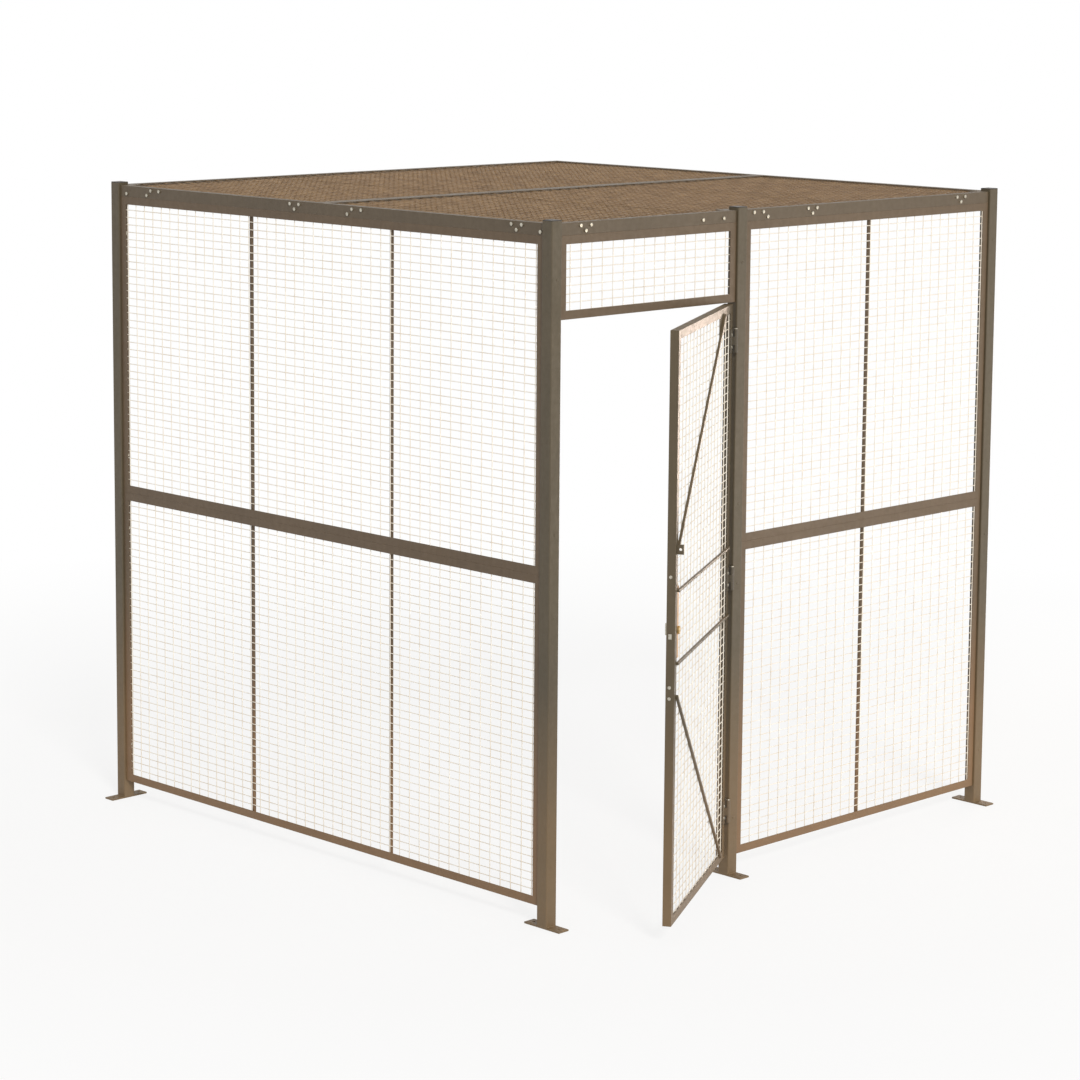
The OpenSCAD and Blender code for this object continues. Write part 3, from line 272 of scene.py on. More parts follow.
class Shader(Nodes):
    """The nodes of one material. Places are in metres, so noise has its real scale."""

    def __init__(self, name):
        self.material = bpy.data.materials.new(name)
        self.material.use_nodes = True
        super().__init__(self.material.node_tree)
        self.surface = self.tree.nodes["Principled BSDF"]
        self.place = self.add("ShaderNodeTexCoord").outputs["Object"]

    def noise(self, scale, detail=3, rough=0.55, stretch=None):
        place = self.place
        if stretch:
            place = self.add("ShaderNodeMapping", {"Vector": place, "Scale": stretch}).outputs[0]
        inputs = {"Vector": place, "Scale": scale, "Detail": detail, "Roughness": rough}
        return self.add("ShaderNodeTexNoise", inputs).outputs["Fac"]

    def span(self, value, low, high, to_low=0, to_high=1):
        """A value from low to high as one from to_low to to_high."""
        inputs = {"Value": value, "From Min": low, "From Max": high,
                  "To Min": to_low, "To Max": to_high}
        return self.add("ShaderNodeMapRange", inputs).outputs[0]

    def blend(self, factor, a, b):
        inputs = {"Factor": factor, 6: a, 7: b}
        return self.add("ShaderNodeMix", inputs, data_type="RGBA").outputs[2]

    def height(self):
        return self.add("ShaderNodeSeparateXYZ", {0: self.place}).outputs["Z"]

    def facing_up(self):
        normal = self.add("ShaderNodeNewGeometry").outputs["Normal"]
        return self.add("ShaderNodeSeparateXYZ", {0: normal}).outputs["Z"]

    def edges(self, radius):
        """One along sharp edges and nothing on flat stretches."""
        soft = self.add("ShaderNodeBevel", {"Radius": radius}, samples=4).outputs[0]
        hard = self.add("ShaderNodeNewGeometry").outputs["Normal"]
        likeness = self.add("ShaderNodeVectorMath", {0: soft, 1: hard}, operation="DOT_PRODUCT")
        return self.span(likeness.outputs["Value"], 0.985, 0.86)

    def bumps(self, layers):
        """Stacks (height, strength, distance) layers into one normal."""
        inputs = {}
        for value, strength, distance in layers:
            inputs.update({"Height": value, "Strength": strength, "Distance": distance})
            inputs["Normal"] = self.add("ShaderNodeBump", inputs).outputs[0]
        self.feed(self.surface.inputs["Normal"], inputs["Normal"])

    def finish(self, colour, roughness, **plain):
        """Feeds the surface. Further inputs are named with _ for each space."""
        self.feed(self.surface.inputs["Base Color"], colour)
        self.feed(self.surface.inputs["Roughness"], roughness)
        for key, value in plain.items():
            self.surface.inputs[key.replace("_", " ")].default_value = value
        return self.material


def enamel(name, colour, dust=0.5, wear=0.5, gloss=0.42):
    """Baked enamel on steel: clouded colour, orange peel, dust, worn edges, and painted warm
    bounce light near the floor.
    """
    s = Shader(name)
    clouds = s.span(s.noise(1.6, 3), 0.3, 0.7)
    mottle = s.span(s.noise(46, 5, 0.62), 0.35, 0.68)
    runs = s.span(s.noise(9, 4, 0.6, (6, 6, 0.6)), 0.42, 0.7)
    base = s.blend(clouds, scaled(colour, 0.9), scaled(colour, 1.1))
    base = s.blend(s.product(mottle, 0.45), base, scaled(colour, 0.78))
    base = s.blend(s.product(runs, 0.22), base, scaled(colour, 1.35))
    # Painted warm bounce light makes it lighter and warmer towards the floor. It is dustier there
    # and on what faces up.
    painted_bounce_colour = (*[c * w for c, w in zip(colour, PAINTED_BOUNCE_TINT)], 1)
    base = s.blend(s.span(s.height(), 0.9, 0.4, 0, 0.85), base, painted_bounce_colour)
    low = s.span(s.height(), 0.5, 0.02, 0, 0.5)
    settled = s.product(s.span(s.facing_up(), 0.45, 0.95), s.span(s.noise(24, 4), 0.3, 0.75))
    dusty = s.product(s.larger(low, settled), s.span(s.noise(5.5, 5, 0.65), 0.25, 0.75))
    base = s.blend(s.product(dusty, dust), base, DUST)
    # Edges are rubbed pale, chipped to the steel in places, and faces are scratched.
    edge = s.edges(1.4 * MM)
    chips = s.product(edge, s.span(s.noise(150, 4, 0.7), 0.56, 0.64))
    rubbed = s.product(edge, s.span(s.noise(30, 3), 0.35, 0.7, 0.15, 0.6))
    base = s.blend(s.product(rubbed, wear), base, scaled(colour, 1.9))
    base = s.blend(s.product(chips, wear), base, BARE_STEEL)
    scratch = s.span(s.noise(60, 2, 0.5, (1, 14, 0.7)), 0.7, 0.76, 0, 0.25)
    base = s.blend(scratch, base, scaled(colour, 1.6))
    rough = s.sum(s.span(mottle, 0, 1, gloss, gloss + 0.12), s.product(dusty, 0.3))
    orange_peel = s.noise(420, 2)
    waves = s.noise(70, 3)
    s.bumps([(orange_peel, 0.22, 0.25 * MM), (waves, 0.16, 0.5 * MM), (chips, -0.4, 0.3 * MM)])
    return s.finish(base, rough, Specular_IOR_Level=0.45)


def wire_enamel(name, colour, shade):
    """Thin enamel on wire, with darker streaks and specks, and dust near the floor."""
    s = Shader(name)
    streaks = s.span(s.noise(14, 4, 0.6), 0.35, 0.68)
    specks = s.span(s.noise(260, 3, 0.7), 0.58, 0.7)
    base = s.blend(streaks, colour, shade)
    base = s.blend(s.product(specks, 0.35), base, scaled(shade, 0.6))
    base = s.blend(s.span(s.height(), 0.4, 0.05, 0, 0.12), base, DUST)
    s.bumps([(s.noise(800, 2), 0.3, 0.1 * MM)])
    return s.finish(base, s.span(streaks, 0, 1, 0.36, 0.5), Specular_IOR_Level=0.5)


def plated(name, colour, tarnish, gloss=0.28):
    """Zinc plate or brass: metal with cloudy tarnish and fine turning marks."""
    s = Shader(name)
    clouds = s.span(s.noise(130, 4, 0.6), 0.4, 0.7)
    marks = s.noise(900, 2, 0.5, (1, 1, 5))
    base = s.blend(s.product(clouds, 0.7), colour, tarnish)
    base = s.blend(s.span(s.noise(420, 3), 0.62, 0.7, 0, 0.5), base, scaled(tarnish, 0.5))
    s.bumps([(marks, 0.15, 0.08 * MM), (clouds, 0.12, 0.15 * MM)])
    rough = s.span(clouds, 0, 1, gloss, gloss + 0.22)
    return s.finish(base, rough, Metallic=1.0)


def moulded(name, colour, grain, gloss):
    """Plastic or rubber with a fine moulded grain and pale dust on top."""
    s = Shader(name)
    mottle = s.span(s.noise(60, 4), 0.35, 0.7)
    dusty = s.product(s.span(s.facing_up(), 0.4, 0.95), s.span(s.noise(90, 5, 0.65), 0.35, 0.75))
    base = s.blend(mottle, colour, scaled(colour, 1.7))
    base = s.blend(s.product(dusty, 0.3), base, DUST)
    s.bumps([(s.noise(grain, 3), 0.4, 0.15 * MM)])
    return s.finish(base, s.span(mottle, 0, 1, gloss, gloss + 0.15), Specular_IOR_Level=0.35)


PALE = (1, 1, 1, 1)
DUST = linear(150, 124, 94)
# Painted warm bounce light: how much lighter and warmer the enamel is painted towards the floor.
PAINTED_BOUNCE_TINT = (1.75, 1.5, 1.3)
BARE_STEEL = linear(178, 172, 162)
POST = linear(83, 73, 55)
RAIL = linear(95, 78, 58)
LEAF = linear(85, 73, 53)
LOCK = linear(206, 164, 122)
CEILING = linear(89, 76, 58)
HINGE = linear(83, 75, 62)
WIRE = linear(246, 241, 230)
WIRE_SHADE = linear(230, 219, 202)
CEILING_WIRE = linear(149, 119, 82)
CEILING_WIRE_SHADE = linear(120, 94, 64)

MATERIALS = {
    "post_paint": enamel("post_enamel", POST, dust=0.75, wear=0.55),
    "frame_paint": enamel("frame_enamel", RAIL, dust=0.6, wear=0.45),
    "door_paint": enamel("door_enamel", LEAF, dust=0.5, wear=0.6, gloss=0.34),
    "lock_paint": enamel("lock_enamel", LOCK, dust=0.2, wear=0.4, gloss=0.36),
    "ceiling_paint": enamel("ceiling_enamel", CEILING, dust=0.35, wear=0.9),
    "hinge_paint": enamel("hinge_enamel", HINGE, dust=0.3, wear=0.7, gloss=0.38),
    "wire_paint": wire_enamel("wire_enamel", WIRE, WIRE_SHADE),
    "ceiling_wire": wire_enamel("ceiling_wire_enamel", CEILING_WIRE, CEILING_WIRE_SHADE),
    "zinc": plated("zinc_plate", linear(196, 190, 176), linear(146, 140, 124)),
    "brass": plated("dull_brass", linear(206, 176, 118), linear(150, 122, 78), 0.32),
    "cap_plastic": moulded("cap_plastic", linear(38, 36, 34), 500, 0.42),
    "rubber": moulded("bumper_rubber", linear(34, 34, 34), 900, 0.6),
}
SLOT_OF = {}
for node_name, node_object in frame["nodes"].items():
    slot_name = node_object.data.materials[0].name
    SLOT_OF[node_name] = slot_name
    node_object.data.materials[0] = MATERIALS[slot_name]

# ---- Mesh tools ----------------------------------------------------------------------


def mesh_of(name, bm):
    mesh = bpy.data.meshes.new(name)
    bm.to_mesh(mesh)
    bm.free()
    return mesh


def in_scene(name, data):
    made = bpy.data.objects.new(name, data)
    bpy.context.scene.collection.objects.link(made)
    return made


def arc_outline(corners, radii, steps):
    """A flat outline with each corner rounded by its radius."""
    outline = []
    for i, (corner, radius) in enumerate(zip(corners, radii)):
        here = Vector(corner)
        back = (Vector(corners[i - 1]) - here).normalized()
        ahead = (Vector(corners[(i + 1) % len(corners)]) - here).normalized()
        half = back.angle(ahead) / 2
        centre = here + (back + ahead).normalized() * radius / math.sin(half)
        start = here + back * radius / math.tan(half) - centre
        end = here + ahead * radius / math.tan(half) - centre
        for k in range(steps + 1):
            outline.append(centre + start.slerp(end, k / steps).normalized() * radius)
    return outline


def turns(count):
    """Equal steps of one full turn."""
    return [2 * math.pi * k / count for k in range(count)]


def across(axis):
    """Two directions square to an axis, in its turning order."""
    return [Vector([float(i == (axis + k) % 3) for i in range(3)]) for k in (1, 2)]


def circled(centre, u, v, turn, radius):
    """The point at a turn from u towards v."""
    return centre + (u * math.cos(turn) + v * math.sin(turn)) * radius


def join_rings(bm, rings, around=False):
    """Joins rings of points with quads, and closes the two ends or the last to the first."""
    loops = [[bm.verts.new(p) for p in ring] for ring in rings]
    pairs = list(zip(loops, loops[1:]))
    if around:
        pairs.append((loops[-1], loops[0]))
    for first, second in pairs:
        for i in range(len(first)):
            j = (i + 1) % len(first)
            bm.faces.new((first[i], first[j], second[j], second[i]))
    if not around:
        bm.faces.new(loops[0][::-1])
        bm.faces.new(loops[-1])


def bead(bm, start, end, radius):
    """A weld bead from start to end, with its ripples."""
    start, end = Vector(start), Vector(end)
    along = (end - start).normalized()
    side = along.orthogonal().normalized()
    other = along.cross(side)
    count = max(4, round((end - start).length / BEAD_STEP))
    rings = []
    for i in range(count + 1):
        swell = radius * (BEAD_DIP if i % 2 else 1) * rng.uniform(*BEAD_SCATTER)
        if i in (0, count):
            swell = radius * BEAD_TIP
        centre = start.lerp(end, i / count)
        rings.append([circled(centre, side, other, turn, swell) for turn in turns(BEAD_SIDES)])
    join_rings(bm, rings)


def carved(made, box, turn):
    """Cuts a box, given with the door closed, out of a piece for good."""
    low, high = Vector(box[0]), Vector(box[1])
    place = Matrix.Translation((low + high) / 2) @ Matrix.Diagonal((*(high - low), 1))
    bm = bmesh.new()
    bmesh.ops.create_cube(bm, size=1, matrix=turn @ place)
    cutter = in_scene("cutter", mesh_of("cutter", bm))
    cut = made.modifiers.new("cut", "BOOLEAN")
    cut.operation = "DIFFERENCE"
    cut.object = cutter
    cut.solver = "EXACT"
    seen = made.evaluated_get(bpy.context.evaluated_depsgraph_get())
    result = bpy.data.meshes.new_from_object(seen)
    result.name = made.name
    made.modifiers.clear()
    made.data = result
    bpy.data.objects.remove(cutter)


def piece(name, bm, like, replaces=(), smooth=SMOOTH_ANGLE, cut=None):
    """Makes a piece that has a node's body and finish from a mesh drawn with the door closed."""
    bmesh.ops.recalc_face_normals(bm, faces=bm.faces)
    if on_leaf(like):
        bmesh.ops.transform(bm, matrix=OPENED, verts=bm.verts)
    made = in_scene(name, mesh_of(name, bm))
    made.data.materials.append(MATERIALS[SLOT_OF[like]])
    if cut:
        carved(made, cut, OPENED if on_leaf(like) else Matrix.Identity(4))
    made.data.polygons.foreach_set("use_smooth", [True] * len(made.data.polygons))
    made.data.set_sharp_from_angle(angle=smooth)
    weigh = made.modifiers.new("flat faces", "WEIGHTED_NORMAL")
    weigh.keep_sharp = True
    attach(made, body_of(like))
    if replaces:
        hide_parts(*replaces)
    return made


def softened(node, width, steps=2, shortest=0.0):
    """Replaces a node by a copy whose sharp edges, if longer than shortest, are rounded."""
    bm = node_mesh(node)
    bmesh.ops.dissolve_limit(bm, angle_limit=FLAT_ANGLE, verts=bm.verts, edges=bm.edges)
    weight = bm.edges.layers.float.new("bevel_weight_edge")
    for edge in bm.edges:
        sharp = len(edge.link_faces) == 2 and edge.calc_face_angle(0) > SHARP_ANGLE
        if sharp and edge.calc_length() > shortest:
            edge[weight] = 1
    if on_leaf(node):
        bmesh.ops.transform(bm, matrix=CLOSED, verts=bm.verts)
    made = piece("soft_" + node, bm, node, [node])
    bevel = made.modifiers.new("rounded edges", "BEVEL")
    bevel.width = width
    bevel.segments = steps
    bevel.limit_method = "WEIGHT"
    made.modifiers.move(1, 0)


# ---- Turned and hexagonal solids -----------------------------------------------------


def turned_rings(points, axis, profile):
    """Rings for a profile of (radius, distance out from the head's face) round a solid's axis.

    Each of the two may depend on the turn from one of the solid's corners."""
    low, high = extent(points)
    middle = (low + high) / 2

    def reach(point):
        away = point - middle
        return math.hypot(away[(axis + 1) % 3], away[(axis + 2) % 3])

    def widest(end):
        return max(reach(p) for p in points if abs(p[axis] - end) < ON_END)

    head_up = widest(high[axis]) > widest(low[axis])
    top, out = (high[axis], 1) if head_up else (low[axis], -1)
    u, v = across(axis)
    first = max(points, key=reach) - middle
    start = math.atan2(first.dot(v), first.dot(u))
    rings = []
    for radius, along in profile:
        ring = []
        for turn in turns(TURNED_SIDES):
            r = radius(turn) if callable(radius) else radius
            z = along(turn) if callable(along) else along
            spot = circled(middle, u, v, start + turn, r)
            spot[axis] = top + out * z
            ring.append(spot)
        rings.append(ring)
    return rings


def hexagon(flats):
    """A hexagon's radius at each turn from one of its corners."""
    return lambda turn: flats / 2 / math.cos(turn % HEX_CORNER - HEX_CORNER / 2)


def chamfered(flats, top, sign):
    """How far along the axis a hexagon's chamfer lies at each turn."""
    return lambda turn: top - sign * (hexagon(flats)(turn) - HEX_FACE * flats) * HEX_SLOPE


def hex_bolts(node, axis_of, flats, head, shank):
    """Bolts with chamfered, dimpled heads and threaded shanks, in the place of a node's."""
    bm = bmesh.new()
    for points in solids(node):
        axis = axis_of(points)
        low, high = extent(points)
        length = high[axis] - low[axis]
        profile = [(flats * 0.22, -0.25 * MM), (flats * 0.26, 0), (HEX_FACE * flats, 0),
                   (hexagon(flats), chamfered(flats, 0, 1)), (hexagon(flats), -head),
                   (shank, -head)]
        for k in range(int((length - head - 2 * THREAD_START) / THREAD_PITCH)):
            z = -head - THREAD_START - k * THREAD_PITCH
            profile += [(shank, z), (shank * THREAD_ROOT, z - THREAD_PITCH / 2)]
        profile += [(shank, -length + BOLT_POINT), (shank * BOLT_TIP, -length)]
        join_rings(bm, turned_rings(points, axis, profile))
    piece("hex_" + node, bm, node, [node])


def hex_nuts(node):
    """Nuts chamfered on both faces, in the place of a node's."""
    bm = bmesh.new()
    for points in solids(node):
        axis = short_axis(points)
        low, high = extent(points)
        h = high[axis] - low[axis]
        outside = hexagon(NUT_FLATS)
        face = HEX_FACE * NUT_FLATS
        mouth = NUT_HOLE + NUT_BEVEL
        profile = [(mouth, 0), (face, 0), (outside, chamfered(NUT_FLATS, 0, 1)),
                   (outside, chamfered(NUT_FLATS, -h, -1)), (face, -h), (mouth, -h),
                   (NUT_HOLE, -h + NUT_BEVEL), (NUT_HOLE, -NUT_BEVEL)]
        join_rings(bm, turned_rings(points, axis, profile), around=True)
    piece("hex_" + node, bm, node, [node])


def lathed(node, axis_of, profile_mm):
    """Turned solids with one profile, in the place of a node's."""
    profile = [(r * MM, z * MM) for r, z in profile_mm]
    bm = bmesh.new()
    for points in solids(node):
        join_rings(bm, turned_rings(points, axis_of(points), profile))
    piece("turned_" + node, bm, node, [node])


def long_axis(points):
    low, high = extent(points)
    return max(range(3), key=lambda i: high[i] - low[i])


def short_axis(points):
    low, high = extent(points)
    return min(range(3), key=lambda i: high[i] - low[i])


def always(axis):
    """The same axis for each solid."""
    return lambda points: axis


# ---- Posts, caps and base plates -----------------------------------------------------


def square_ring(low, high, half, radius, z):
    """A level square with rounded corners, round the middle of a box."""
    x, y = (low.x + high.x) / 2, (low.y + high.y) / 2
    corners = [(-half, -half), (half, -half), (half, half), (-half, half)]
    return [(x + p.x, y + p.y, z) for p in arc_outline(corners, [radius] * 4, TUBE_STEPS)]


def post_tube(node):
    """A rolled square tube with rounded corners. The corner post has the bolt's slot."""
    low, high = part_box(node)
    inner = HALF_POST - TUBE_WALL
    rings = [square_ring(low, high, HALF_POST, TUBE_CORNER, low.z),
             square_ring(low, high, HALF_POST, TUBE_CORNER, high.z),
             square_ring(low, high, inner, TUBE_INNER_CORNER, high.z),
             square_ring(low, high, inner, TUBE_INNER_CORNER, low.z)]
    bm = bmesh.new()
    join_rings(bm, rings, around=True)
    piece("tube_" + node, bm, node, [node], cut=POST_SLOT if node == "post_corner" else None)


def foot_weld(node, plate):
    """Fillet welds on the two sides of a post's foot where its base plate stands out."""
    low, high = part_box(node)
    plate_low, plate_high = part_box(plate)
    inset = 0.6 * MM
    x0, x1 = low.x + inset, high.x - inset
    y0, y1 = low.y + inset, high.y - inset
    z = plate_high.z + 0.4 * MM
    bm = bmesh.new()
    if plate_high.x - plate_low.x > plate_high.y - plate_low.y:
        for x in (x0, x1):
            bead(bm, (x, y0 + TUBE_CORNER, z), (x, y1 - TUBE_CORNER, z), FOOT_WELD)
    else:
        for y in (y0, y1):
            bead(bm, (x0 + TUBE_CORNER, y, z), (x1 - TUBE_CORNER, y, z), FOOT_WELD)
    piece("weld_" + node, bm, node)


def moulded_caps(node):
    """Caps with a plug in the tube, a rim, a rounded shoulder and a flat top."""
    bm = bmesh.new()
    for points in solids(node):
        low, high = extent(points)
        half = (high.x - low.x) / 2
        plug = half - TUBE_WALL - CAP_PLAY
        top, seat = high.z, POST_HIGH.z
        levels = [(plug, seat - CAP_DEPTH), (plug, seat), (half, seat), (half, top - 1.5 * MM),
                  (half - 0.35 * MM, top - 0.75 * MM), (half - 1.2 * MM, top - 0.25 * MM),
                  (half - 3 * MM, top)]
        rings = []
        for size, z in levels:
            radius = TUBE_CORNER if size > half - 1 * MM else TUBE_INNER_CORNER
            rings.append(square_ring(low, high, size, radius, z))
        join_rings(bm, rings)
    piece("moulded_caps", bm, node, [node])


for post in ("post_corner", "post_far_left", "post_hinge", "post_right"):
    base_plate = post.replace("post", "base_plate")
    post_tube(post)
    foot_weld(post, base_plate)
    softened(base_plate, 1.0 * MM, 3)
moulded_caps("post_caps")

# ---- Walls and ceiling ---------------------------------------------------------------


def angle_profile(leg):
    """The angle's section: x in from the frame's edge, y behind its face."""
    t = ANGLE_T
    corners = [(0, 0), (leg, 0), (leg, t), (t, t), (t, leg), (0, leg)]
    return arc_outline(corners, [r * MM for r in ANGLE_RADII_MM], SECTION_STEPS)


def channel_profile():
    """The channel's section: x across it, y behind its web."""
    w, d, t = CHANNEL_W / 2, CHANNEL_D, CHANNEL_T
    corners = [(-w, 0), (w, 0), (w, d), (w - t, d), (w - t, t), (t - w, t), (t - w, d), (-w, d)]
    return arc_outline(corners, [r * MM for r in CHANNEL_RADII_MM], SECTION_STEPS)


def in_wall(points, wall):
    """Some points in a wall's own directions."""
    back = wall.inverted()
    return [back @ p for p in points]


def frame_corners(low, high):
    """The corners of a frame in turn: x, z, and which way is inwards along each."""
    return [(low.x, low.z, 1, 1), (high.x, low.z, -1, 1),
            (high.x, high.z, -1, -1), (low.x, high.z, 1, -1)]


def angle_frame(node, wall=FRONT_WALL, cut=None):
    """Four angles welded at their mitres, in the place of a node."""
    low, high = extent(in_wall(node_points(node), wall))
    profile = angle_profile(high.y - low.y)
    rings = []
    for x, z, right, up in frame_corners(low, high):
        rings.append([wall @ Vector((x + right * p.x, low.y + p.y, z + up * p.x))
                      for p in profile])
    bm = bmesh.new()
    join_rings(bm, rings, around=True)
    piece("steel_" + node, bm, node, [node], cut=cut)


def mitre_welds(node, wall=FRONT_WALL):
    """Two weld beads inside each mitre: behind the face, and up the corner of the legs."""
    low, high = extent(in_wall(node_points(node), wall))
    near = ANGLE_T + 0.3 * MM
    root = ANGLE_T + 0.2 * MM
    far = high.y - low.y - 1.5 * MM
    bm = bmesh.new()
    for x, z, right, up in frame_corners(low, high):
        spots = [wall @ Vector((x + right * inwards, low.y + depth, z + up * inwards))
                 for inwards, depth in ((near, near), (far, root), (root, far))]
        bead(bm, spots[0], spots[1], MITRE_WELD)
        bead(bm, spots[0], spots[2], MITRE_WELD)
    piece("weld_" + node, bm, node)


def channels(node, wall=FRONT_WALL):
    """Upright or level channels with rounded bends, in the place of a node's."""
    bm = bmesh.new()
    for points in solids(node):
        low, high = extent(in_wall(points, wall))
        along = 2 if high.z - low.z > high.x - low.x else 0
        other = 2 - along
        middle = (low + high) / 2
        rings = []
        for end in (low[along], high[along]):
            ring = []
            for p in channel_profile():
                spot = Vector((0, low.y + p.y, 0))
                spot[along] = end
                spot[other] = middle[other] + p.x
                ring.append(wall @ spot)
            rings.append(ring)
        join_rings(bm, rings)
    piece("steel_" + node, bm, node, [node])


BarEnd = namedtuple("BarEnd", "along other place inwards low high")


def bar_ends(points):
    """The ends of a bar that runs upright, level or slanting in the plane of its wall.

    An end has the axis it ends along and the one across it, its place and the sign of the
    way in along the first, and the lowest and highest corner of its face."""
    low, high = extent(points)
    ends = []
    for along, other in ((0, 2), (2, 0)):
        for place, inwards in ((low[along], 1), (high[along], -1)):
            a, b = extent([p for p in points if abs(p[along] - place) < ON_END])
            if NARROWEST_BAR < b[other] - a[other] < WIDEST_BAR:
                ends.append(BarEnd(along, other, place, inwards, a, b))
    return ends


def channel_welds(node, wall=FRONT_WALL):
    """Beads on the web and both sides of each end of a node's channels."""
    bm = bmesh.new()
    for points in solids(node):
        for end in bar_ends(in_wall(points, wall)):
            side, other_side = end.low[end.other], end.high[end.other]
            web, lips = end.low.y, end.high.y
            for line in (((side, web), (other_side, web)), ((other_side, web), (other_side, lips)),
                         ((side, lips), (side, web))):
                spots = []
                for across_it, depth in line:
                    spot = Vector((0, depth, 0))
                    spot[end.along] = end.place + end.inwards * CHANNEL_WELD * 0.4
                    spot[end.other] = across_it
                    spots.append(wall @ spot)
                bead(bm, *spots, CHANNEL_WELD)
    piece("weld_" + node, bm, node)


def wires(node):
    """Round wires in two layers with a weld nugget at each crossing."""
    bm = bmesh.new()
    runs = {}
    for points in solids(node):
        low, high = extent(points)
        axis = long_axis(points)
        runs.setdefault(axis, []).append((low, high))
        u, v = across(axis)
        middle = (low + high) / 2
        radius = sorted(high - low)[1] / 2
        rings = []
        for end in (low[axis], high[axis]):
            ring = [circled(middle, u, v, turn, radius) for turn in turns(WIRE_SIDES)]
            for spot in ring:
                spot[axis] = end
            rings.append(ring)
        join_rings(bm, rings)
    (first, first_wires), (second, second_wires) = sorted(runs.items())
    depth = 3 - first - second
    for low_a, high_a in first_wires:
        for low_b, high_b in second_wires:
            a, b = (low_a + high_a) / 2, (low_b + high_b) / 2
            spot = (a + b) / 2
            spot[second], spot[first] = a[second], b[first]
            a_reaches_b = low_a[first] < b[first] < high_a[first]
            b_reaches_a = low_b[second] < a[second] < high_b[second]
            if a_reaches_b and b_reaches_a:
                nugget(bm, spot, first, second, depth, radius)
    piece("wires_" + node, bm, node, [node], smooth=WIRE_SMOOTH_ANGLE)


def nugget(bm, spot, first, second, depth, radius):
    """The squeezed metal at one welded crossing."""
    wide = radius * rng.uniform(*NUGGET_WIDTH)
    reach = {first: wide, second: wide, depth: radius * NUGGET_DEPTH}
    tips = {}
    for axis, size in reach.items():
        for sign in (-1, 1):
            place = spot.copy()
            place[axis] += sign * size
            tips[axis, sign] = bm.verts.new(place)
    for i in (-1, 1):
        for j in (-1, 1):
            for k in (-1, 1):
                bm.faces.new((tips[first, i], tips[second, j], tips[depth, k]))


for row in ("left_lower", "left_upper"):
    angle_frame(row + "_frame", SIDE_WALL)
    mitre_welds(row + "_frame", SIDE_WALL)
    channels(row + "_stiffeners", SIDE_WALL)
    channel_welds(row + "_stiffeners", SIDE_WALL)
for row in ("front_lower", "front_upper"):
    angle_frame(row + "_frame")
    mitre_welds(row + "_frame")
    channels(row + "_stiffener")
    channel_welds(row + "_stiffener")
angle_frame("transom_frame")
mitre_welds("transom_frame")
for half_name in ("ceiling_near", "ceiling_far"):
    softened(half_name + "_frame", 0.7 * MM, shortest=20 * MM)
    channels(half_name + "_stiffeners", CEILING_WALL)
    channel_welds(half_name + "_stiffeners", CEILING_WALL)
for node_name in sorted(frame["nodes"]):
    if node_name.endswith("_mesh"):
        wires(node_name)

# ---- The door ------------------------------------------------------------------------


def lap_welds(node):
    """Beads round each end of a bar, where it lies on the face of the leaf's frame."""
    bm = bmesh.new()
    for points in solids(node):
        ends = bar_ends(points)
        depth = extent(points)[1].y - 0.3 * MM
        for end, far_end in zip(ends, ends[::-1]):
            way = ((far_end.low + far_end.high) - (end.low + end.high)).normalized()
            corners = Vector(end.low), Vector(end.low)
            corners[1][end.other] = end.high[end.other]
            for corner in corners:
                corner.y = depth
            bead(bm, *corners, LAP_WELD)
            for corner in corners:
                bead(bm, corner, corner + way * BAR_LAP / abs(way[end.along]), LAP_WELD)
    piece("weld_" + node, bm, node)


def gusset_welds(node):
    """Three stitches of weld that hold the gusset's top edge."""
    low, high = extent(node_points(node))
    span = high.x - low.x
    y = low.y + 0.5 * MM
    bm = bmesh.new()
    for share in (0.1, 0.42, 0.74):
        x = low.x + span * share
        bead(bm, (x, y, high.z), (x + span * 0.16, y, high.z), GUSSET_WELD)
    piece("weld_" + node, bm, node)


angle_frame("door_frame", cut=STILE_SLOT)
mitre_welds("door_frame")
for bars in ("door_crossbars", "door_upper_brace", "door_lower_brace"):
    softened(bars, 0.8 * MM)
    lap_welds(bars)
softened("door_gusset", 0.5 * MM)
gusset_welds("door_gusset")
for node_name, width_mm in (("hinge_post_leaves", 0.35), ("hinge_door_leaves", 0.35),
                            ("lock_plate", 0.5), ("lock_case", 0.8), ("padlock_lug", 0.5),
                            ("lock_cylinder", 0.35), ("lock_bolt", 0.6), ("lock_spindle", 0.3),
                            ("thumb_turn", 0.6), ("strike_plate", 0.35)):
    softened(node_name, width_mm * MM)

# ---- Clips, bolts, nuts, plugs and pins ----------------------------------------------

# Profiles in millimetres: (radius, distance out from the head's face).
PLUG = [(2, 0), (4, -0.12), (5.5, -0.4), (6.2, -0.8), (6.5, -1.25), (6.5, -1.5), (4.25, -1.5),
        (4.25, -4.7), (3.8, -5.5)]
BUMPER = [(2.2, -0.9), (3.2, -0.15), (4.6, 0), (7.4, -0.35), (8.9, -1.5), (9.5, -3.2),
          (9.5, -7.5), (3.9, -7.5), (3.9, -11.5)]
PIN = [(2.5, 0), (5.2, -0.3), (6.6, -1), (7, -1.9), (7, -3), (4.75, -3), (4.75, -91), (4, -91.9)]
SCREW = [(1.2, -0.9), (1.9, -0.9), (2.1, 0), (3.4, -0.1), (4, -0.7), (4, -1.2), (2.6, -1.2),
         (2.6, -6.4), (1.6, -7.2)]

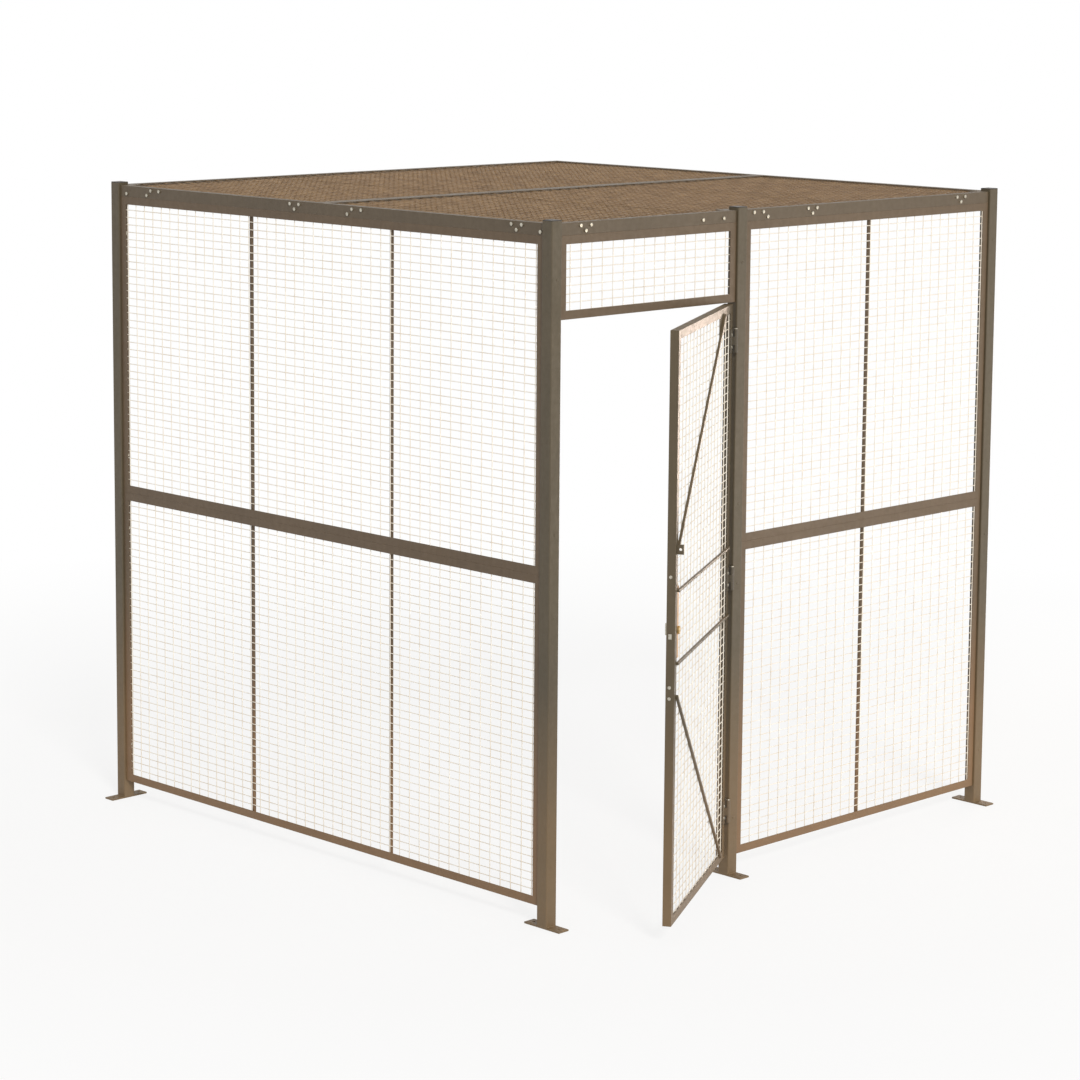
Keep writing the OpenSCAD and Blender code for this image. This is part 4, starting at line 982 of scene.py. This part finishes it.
softened("ceiling_clips", 0.4 * MM, shortest=8 * MM)
for bolts in ("panel_bolts", "rail_bolts", "clip_bolts"):
    hex_bolts(bolts, long_axis, *WALL_BOLT)
hex_bolts("clip_foot_bolts", always(2), *WALL_BOLT)
hex_bolts("hinge_post_bolts", always(0), *DOOR_BOLT)
hex_bolts("hinge_door_bolts", always(1), *DOOR_BOLT)
hex_bolts("lock_stile_bolts", always(0), *DOOR_BOLT)
for nuts in ("panel_nuts", "rail_nuts", "clip_nuts"):
    hex_nuts(nuts)
lathed("post_plugs", short_axis, PLUG)
lathed("door_bumper", always(0), BUMPER)
lathed("hinge_pins", always(2), PIN)
lathed("strike_screws", short_axis, SCREW)

# ---- Stage ---------------------------------------------------------------------------

FLOOR_RADIUS = 400
FLOOR_COLOURS = (0.86, 0.86, 0.855, 1), (0.89, 0.885, 0.88, 1)
ROOM_MIDDLE = (1.25, 1.25, 0)
FADE_FROM, FADE_TO = 2.6, 6
NEAR_GLOW = 0.8
SKY_COLOUR = (1, 0.985, 0.965, 1)
SKY_STRENGTH = 0.5
KEY = {"towards": (-0.42, -0.85, 0.62), "strength": 1.9, "softness": 14,
       "colour": (1, 0.985, 0.96)}
FILL = {"place": (4.6, -4.4, 0.7), "aim": (1.6, 0, 1.0), "size": 2.4, "power": 75,
        "colour": (1, 0.88, 0.74), "spread": 180}
GLARE = {"place": (6.6, 1.7, 0.95), "aim": (0.55, -0.3, 1.1), "size": 1.7, "power": 13,
         "colour": (1, 0.8, 0.66), "spread": 60}
PHOTO_PX = 1080
FOCAL_PX = 3141.9
OPTICAL_CENTRE_PX = 400
SENSOR_MM = 36
CAMERA_PLACE = (-7.8173, -7.7887, 3.4622)
CAMERA_YAW, CAMERA_PITCH, CAMERA_ROLL = (math.radians(a) for a in (44.908, -7.897, 0.453))


def stage_floor():
    """A pale floor that fades into the background with distance."""
    bm = bmesh.new()
    bmesh.ops.create_circle(bm, cap_ends=True, radius=FLOOR_RADIUS, segments=96)
    floor = in_scene("floor", mesh_of("floor", bm))
    s = Shader("floor_paint")
    clouds = s.span(s.noise(0.7, 4), 0.3, 0.7)
    paint = s.finish(s.blend(clouds, *FLOOR_COLOURS), 0.8, Specular_IOR_Level=0.2)
    floor.data.materials.append(paint)
    shift = [-c for c in ROOM_MIDDLE]
    from_middle = s.add("ShaderNodeMapping", {"Vector": s.place, "Location": shift}).outputs[0]
    distance = s.add("ShaderNodeVectorMath", {0: from_middle}, operation="LENGTH")
    fade = s.span(distance.outputs["Value"], FADE_FROM, FADE_TO, NEAR_GLOW, 1)
    glow = s.add("ShaderNodeEmission", {"Color": PALE, "Strength": 1.0})
    s.surface_from(s.product(fade, s.seen()), s.surface, glow, "Material Output")


def sky():
    """Even light, and a pale background where it is seen or mirrored."""
    world = bpy.data.worlds.new("studio")
    bpy.context.scene.world = world
    world.use_nodes = True
    s = Nodes(world.node_tree)
    light = s.tree.nodes["Background"]
    s.feed(light.inputs["Color"], SKY_COLOUR)
    s.feed(light.inputs["Strength"], SKY_STRENGTH)
    background = s.add("ShaderNodeBackground", {"Color": PALE, "Strength": 1.0})
    s.surface_from(s.seen(), light, background, "World Output")


def sun(name, towards, strength, softness, colour):
    """A soft distant lamp that shines from the direction towards."""
    lamp = bpy.data.lights.new(name, "SUN")
    lamp.energy = strength
    lamp.angle = math.radians(softness)
    lamp.color = colour
    made = in_scene(name, lamp)
    made.rotation_euler = Vector(towards).to_track_quat("Z", "Y").to_euler()


def softbox(name, place, aim, size, power, colour, spread):
    """A square lamp at place that faces aim."""
    lamp = bpy.data.lights.new(name, "AREA")
    lamp.energy = power
    lamp.size = size
    lamp.spread = math.radians(spread)
    lamp.color = colour
    made = in_scene(name, lamp)
    made.visible_camera = False
    made.location = place
    made.rotation_euler = (Vector(place) - Vector(aim)).to_track_quat("Z", "Y").to_euler()


def camera():
    """The photograph's viewpoint."""
    data = bpy.data.cameras.new("camera")
    data.sensor_width = SENSOR_MM
    data.lens = FOCAL_PX / PHOTO_PX * SENSOR_MM
    data.shift_y = (OPTICAL_CENTRE_PX - PHOTO_PX / 2) / PHOTO_PX
    data.clip_end = 1000
    made = in_scene("camera", data)
    sight = Matrix.Rotation(-CAMERA_YAW, 4, "Z")
    sight = sight @ Matrix.Rotation(math.pi / 2 + CAMERA_PITCH, 4, "X")
    sight = sight @ Matrix.Rotation(CAMERA_ROLL, 4, "Z")
    made.matrix_world = Matrix.Translation(CAMERA_PLACE) @ sight
    bpy.context.scene.camera = made


stage_floor()
sky()
sun("key", **KEY)
softbox("fill", **FILL)
softbox("glare", **GLARE)
camera()
bpy.context.scene.view_settings.view_transform = "Standard"
